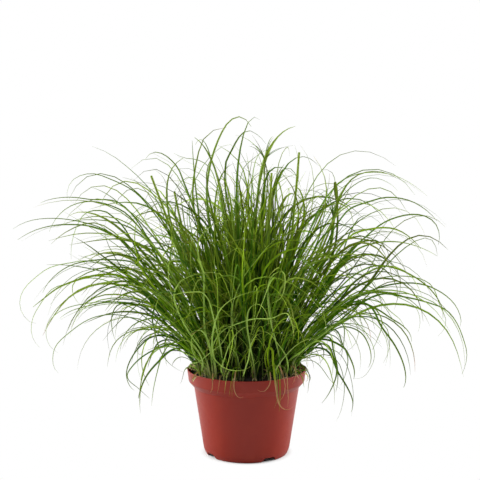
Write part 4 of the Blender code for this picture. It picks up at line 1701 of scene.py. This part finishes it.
@dataclass(frozen=True)
class LooseLeaves:
    """Thin leaves that come out of the mass in every direction and curl, more and more towards their tips."""

    name: str = "loose_leaves"
    count: int = 170
    seed: int = 11
    points: int = 16
    inner_radius: float = 0.0
    root_radius: float = 32 * MM
    shortest: float = 90 * MM
    longest: float = 265 * MM
    least_lean: float = 0.05
    most_lean: float = 0.45
    least_bend: float = 0.9
    most_bend: float = 2.9
    bearing_spread: float = 1.4
    veer_spread: float = 1.6
    # The power with which the bend grows, and what each leaf's own share of the half width is drawn from
    bend_power: float = 2.2
    half_width: float = 0.80 * MM
    sizes: tuple[float, float] = (0.65, 1.25)
    palest: float = 1.0
    darkest: float = 0.35
    # One leaf in seven has a dried tip.
    dryness: tuple[float, ...] = (0.0, 0.0, 0.0, 0.0, 0.0, 0.0, 0.8)
    most_roll: float = 0.6
    rim_radius: float = 62.5 * MM
    rim_height: float = 88 * MM
    rim_sink: float = 4 * MM

    def strand(self, draws: random.Random) -> Strand:
        """Grows one leaf, which leans more and more and turns aside as it grows.

        Args:
            draws: the source of random numbers.

        Returns:
            The leaf's strand.
        """
        around = draws.uniform(0.0, math.tau)
        radius = math.sqrt(draws.uniform(self.inner_radius**2, self.root_radius**2))
        place = Vector((radius * math.cos(around), radius * math.sin(around), SOIL_HEIGHT))
        bearing = around + draws.gauss(0.0, self.bearing_spread)
        length = draws.uniform(self.shortest, self.longest)
        lean = draws.uniform(self.least_lean, self.most_lean)
        bend = draws.uniform(self.least_bend, self.most_bend)
        veer = draws.gauss(0.0, self.veer_spread)
        shares = [step / (self.points - 1) for step in range(self.points)]
        points = [place.copy()]
        for share in shares[1:]:
            tilt = lean + bend * share**self.bend_power
            heading = bearing + veer * share**2
            flat = math.sin(tilt)
            way = Vector((flat * math.cos(heading), flat * math.sin(heading), math.cos(tilt)))
            place = place + way * (length / (self.points - 1))
            if place.xy.length < self.rim_radius:
                place.z = max(place.z, self.rim_height - self.rim_sink * (1.0 - share))
            points.append(place.copy())
        side = Vector((-math.sin(bearing), math.cos(bearing), 0.0))
        half = self.half_width * draws.uniform(*self.sizes)
        # Half as wide at its root, and thin at its tip
        widths = [half * min(1.0, 0.5 + 3.0 * share) * (1.0 - 0.85 * share**2) for share in shares]
        dry = draws.choice(self.dryness)
        tone = draws.uniform(self.darkest, self.palest)
        return Strand(points, widths, side, tone, dry, draws.uniform(-self.most_roll, self.most_roll))

    def build(self, means: Means) -> Thing:
        """Makes all of them.

        Args:
            means: the trees and materials.

        Returns:
            One object that holds them.
        """
        draws = random.Random(self.seed)
        strands = [self.strand(draws) for _ in range(self.count)]
        values = {"Points": self.points, "Material": means.green}
        return run_tree(strands_object(self.name, strands), means.blades, values)


BASE_CURLS = LooseLeaves(
    name="base_curls", count=90, seed=23, inner_radius=30 * MM, root_radius=46 * MM, shortest=45 * MM,
    longest=130 * MM, least_bend=1.6, most_bend=3.6, half_width=0.42 * MM, darkest=0.9,
)


@dataclass
class Plant:
    """All the leaves and culms above the soil."""

    lines: list[StalkLine]
    camera: PhotoCamera
    means: Means
    seed: int = 5
    # How many leaves stand up beside a culm. They are thickest left of the middle.
    left_leaves: int = 40
    right_leaves: int = 31
    middle_width: float = 40 * MM
    # Points along a culm and along a followed leaf, after the tree has spaced them
    culm_points: int = 32
    seen_points: int = 40

    # The same for all: how far apart the seeds of a bunch's kinds of leaf are, those of the culms' draws
    # and those of the upright leaves, and where the last begin
    KIND_STEP, CULM_STEP, UPRIGHT_STEP, UPRIGHT_SEED = 400, 100, 50, 1200
    # What is drawn for a culm and for each of its bracts: its tone, how far it turns from its place round
    # the head, its size, how much lower it arches, its half width in millimetres and its own tone
    TONES = (0.35, 0.65)
    BRACT_TURNS = (-0.5, 0.5)
    BRACT_SIZES = (0.40, 1.0)
    BRACT_HEIGHTS = (0.45, 1.0)
    BRACT_WIDTHS = (0.55, 0.85)
    BRACT_TONES = (0.35, 0.8)
    # How many points of the line the folded head takes
    HEAD_POINTS = 2.2

    def bunch(self, line: StalkLine, number: int) -> Thing:
        """Makes the leaves of one bunch: its long leaves, its curled and short ones, and dead sheaths.

        Args:
            line: the centre line of the bunch's solid.
            number: the bunch's number, which seeds its random draws.

        Returns:
            One object that holds all of them.
        """
        name = f"{line.name}_leaves"
        parts = []
        for kind, habit in enumerate(line.habits()):
            values = habit.inputs(self.seed + number + self.KIND_STEP * kind) | POT_EDGE
            values["Material"] = self.means.straw if habit.papery else self.means.green
            parts.append(run_tree(strands_object(name, [line.strand()]), self.means.bunch, values))
        return joined(name, parts)

    def culm(self, line: StalkLine, number: int) -> Thing:
        """Makes one culm: its stem and, unless it is blunt, its folded spindle and its open bracts.

        Args:
            line: the centre line of the culm's solid.
            number: the culm's number, which seeds its random draws.

        Returns:
            The culm's object.
        """
        draws = random.Random(self.CULM_STEP * self.seed + number)
        form = CULM_FORMS[line.name]
        last = len(line.points) - 1
        shares = [place / last for place in range(last + 1)]
        tone = draws.uniform(*self.TONES)
        name = f"{line.name}_stem"
        values = {"Points": self.culm_points, "Material": self.means.culm_green}
        thick = form.value.half_width
        if form is CulmForm.BLUNT:
            # A quarter thinner at the top
            widths = [thick * (1.0 - 0.25 * share) for share in shares]
            strands = [Strand(line.points, widths, line.side(), tone)]
            return run_tree(strands_object(name, strands), self.means.stems, values)
        head = max(range(last + 1), key=lambda place: line.widths[place])
        swell = [math.exp(-(((place - head) / self.HEAD_POINTS) ** 2)) for place in range(last + 1)]
        taper = [1.0 - 0.85 * share**4 for share in shares]
        widths = [(thick + form.value.spindle * bulge) * thin for bulge, thin in zip(swell, taper)]
        strands = [Strand(line.points, widths, line.side(), tone)]
        stem = run_tree(strands_object(name, strands), self.means.stems, values)
        crown, bract = line.points[head], line.points[head:]
        strands = []
        for place in range(form.value.bracts):
            bearing = draws.uniform(*self.BRACT_TURNS) + (place + 0.5) * math.tau / form.value.bracts
            turn = Matrix.Rotation(bearing, 3, "Z")
            size = draws.uniform(*self.BRACT_SIZES)
            low = Vector((1.0, 1.0, draws.uniform(*self.BRACT_HEIGHTS)))
            points = [crown + turn @ ((point - crown) * size * low) for point in bract]
            # A bract thins out from its root to a fifth of its width.
            wide = draws.uniform(*self.BRACT_WIDTHS) * MM
            widths = [wide * (1.0 - 0.8 * (i / (len(points) - 1)) ** 1.3) for i in range(len(points))]
            strands.append(Strand(points, widths, turn @ line.side(), draws.uniform(*self.BRACT_TONES)))
        bracts = run_tree(strands_object(f"{name}_bracts", strands), self.means.blades, values)
        return joined(name, [stem, bracts])

    def upright(self) -> Thing:
        """Makes the leaves that stand up among the culms and fill the middle of the plant.

        Returns:
            One object that holds all of them.
        """
        name = "upright_leaves"
        parts = []
        for number, line in enumerate(self.lines):
            if not line.name.startswith(StalkKind.CULM.value):
                continue
            upright = UPRIGHT
            if abs(line.points[-1].x) > self.middle_width / 2:
                leaves = self.left_leaves if line.points[-1].x < 0 else self.right_leaves
                upright = replace(UPRIGHT, leaves=leaves)
            for kind, habit in enumerate((upright, THICKET)):
                seed = self.seed + self.UPRIGHT_SEED + self.UPRIGHT_STEP * kind + number
                values = habit.inputs(seed) | POT_EDGE | {"Material": self.means.green}
                parts.append(run_tree(strands_object(name, [line.strand()]), self.means.bunch, values))
        return joined(name, parts)

    def seen(self) -> Thing:
        """Makes the leaves that are followed in the photograph.

        Returns:
            One object that holds all of them.
        """
        strands = [leaf.strand(self.camera) for leaf in SEEN_LEAVES]
        values = {"Points": self.seen_points, "Material": self.means.green}
        return run_tree(strands_object("seen_leaves", strands), self.means.blades, values)

    def build(self) -> None:
        """Makes every bunch and culm, in place of its solid, and the leaves that have no solid."""
        for number, line in enumerate(self.lines, start=1):
            if line.name.startswith(StalkKind.LEAF_BUNCH.value):
                settle(self.bunch(line, number), Slot.LEAF, line.name)
            else:
                settle(self.culm(line, number), Slot.CULM, line.name)
        loose = [leaves.build(self.means) for leaves in (LooseLeaves(), BASE_CURLS)]
        for piece in (self.seen(), self.upright(), *loose):
            settle(piece, Slot.LEAF)


def from_bmesh(name: str, shape: bmesh.types.BMesh) -> Thing:
    """Makes an object of a shape and frees the shape.

    Args:
        name: the object's name.
        shape: the shape.

    Returns:
        The object, in the scene.
    """
    mesh = bpy.data.meshes.new(name)
    shape.to_mesh(mesh)
    shape.free()
    return link_to_scene(bpy.data.objects.new(name, mesh))


def joined(name: str, parts: list[Thing]) -> Thing:
    """Joins objects that share their place into one.

    Args:
        name: the name of the result.
        parts: the objects, which are taken away.

    Returns:
        The joined object.
    """
    whole = bmesh.new()
    materials: list[Material] = []
    for part in parts:
        slots = []
        for material in part.data.materials:
            if material not in materials:
                materials.append(material)
            slots.append(materials.index(material))
        before = len(whole.faces)
        whole.from_mesh(part.data)
        whole.faces.ensure_lookup_table()
        for face in whole.faces[before:]:
            face.material_index = slots[face.material_index] if slots else 0
    for part in parts:
        bpy.data.objects.remove(part)
    made = from_bmesh(name, whole)
    for material in materials:
        made.data.materials.append(material)
    return made


def settle(piece: Thing, slot: Slot, *nodes: str) -> None:
    """Lets a piece ride on the object's body and stand for its solids, and reports it.

    Args:
        piece: the finished piece.
        slot: the record's material slot for it.
        *nodes: the solids that it stands for.
    """
    held = piece.data.attributes
    for name in WORKING_NUMBERS:
        if name in held:
            held.remove(held[name])
    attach(piece, BODY)
    if nodes:
        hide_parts(*nodes)
    LOG.info("%s: %d faces", piece.name, len(piece.data.polygons))


# Studio


@dataclass(frozen=True)
class Studio:
    """White surroundings, a white table, a broad light overhead and one on each side."""

    table_half: float = 1.1
    world_strength: float = 0.06
    overhead_watts: float = 19.0
    front_watts: float = 5.5
    side_watts: float = 74.0
    middle: tuple[float, float, float] = (0.0, 0.0, 0.18)

    def light(self, name: str, place: Vector, size: float, watts: float) -> None:
        """Makes a square area light that faces the middle of the plant.

        Args:
            name: its name.
            place: where it stands.
            size: the length of its side.
            watts: its power.
        """
        lamp = bpy.data.lights.new(name, "AREA")
        lamp.shape = "SQUARE"
        lamp.size = size
        lamp.energy = watts
        thing = link_to_scene(bpy.data.objects.new(name, lamp))
        thing.location = place
        thing.rotation_mode = "QUATERNION"
        thing.rotation_quaternion = (Vector(self.middle) - place).to_track_quat("-Z", "Y")

    def surroundings(self) -> None:
        """Makes a world that the camera sees as white and that casts only a little light."""
        world = bpy.data.worlds.new("white_surroundings")
        bpy.context.scene.world = world
        world.use_nodes = True
        world.node_tree.nodes.clear()
        add = partial(add_node, world.node_tree)
        cast, white = (
            add("ShaderNodeBackground", {"Color": WHITE, "Strength": strength})
            for strength in (self.world_strength, 1.0)
        )
        seen = add("ShaderNodeLightPath", out="Is Camera Ray")
        add("ShaderNodeOutputWorld", {"Surface": add(Node.MIX_SHADERS, (seen, cast, white))})

    def build(self, finish: Material) -> None:
        """Makes the table, the surroundings and the lights.

        Args:
            finish: the table's material.
        """
        mesh = bpy.data.meshes.new("studio_table")
        half = self.table_half
        corners = ((-half, -half, 0.0), (half, -half, 0.0), (half, half, 0.0), (-half, half, 0.0))
        mesh.from_pydata(corners, [], [(0, 1, 2, 3)])
        mesh.materials.append(finish)
        link_to_scene(bpy.data.objects.new("studio_table", mesh))
        self.surroundings()
        self.light("overhead_softbox", Vector((-0.25, -0.45, 1.70)), 1.1, self.overhead_watts)
        self.light("front_softbox", Vector((-0.35, -1.55, 0.50)), 0.9, self.front_watts)
        self.light("left_softbox", Vector((-1.6, 0.35, 0.75)), 1.1, self.side_watts)
        self.light("right_softbox", Vector((1.6, 0.4, 0.75)), 1.1, self.side_watts)
        bpy.context.scene.view_settings.view_transform = "Standard"


def read_lines(nodes: dict[str, Thing]) -> list[StalkLine]:
    """Reads the centre line of every leaf bunch and culm.

    Args:
        nodes: the frame's nodes by name.

    Returns:
        The lines, in the order of their names.
    """
    kinds = tuple(kind.value for kind in StalkKind)
    return [StalkLine.from_node(name, nodes[name]) for name in sorted(nodes) if name.startswith(kinds)]


def main() -> None:
    """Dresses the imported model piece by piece."""
    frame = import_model()
    nodes = frame["nodes"]
    camera = PhotoCamera()
    camera.build()
    Studio().build(StudioFloor().build())

    leaf = BladeFinish("sedge_leaf", "0E3000", "3A7200", "9CC018", "E6EAA8", "C49A70")
    culm = BladeFinish(
        "sedge_culm", "365A0E", "4C7014", "7A9A2C", "A09A68", "9A7B45", roughness=0.4, lit_through=0.12
    )
    sweep = BladeSection().build()
    stem_sweep = BladeSection("stem_sweep", round_sides=8, edge=2.0).build()
    trees = (BunchTree(sweep).build(), build_strand_tree(sweep), build_strand_tree(stem_sweep))
    means = Means(*trees, leaf.build(), culm.build(), SheathFinish().build())
    Plant(read_lines(nodes), camera, means).build()

    NurseryPot().build(PotPlastic().build())
    earth = PottingSoil().build()
    soil = nodes["soil"]
    soil.data.materials.clear()
    soil.data.materials.append(earth)
    LOG.info("soil: %d faces", len(soil.data.polygons))
    SoilCrumbs().build(earth)


if __name__ == "__main__":
    main()
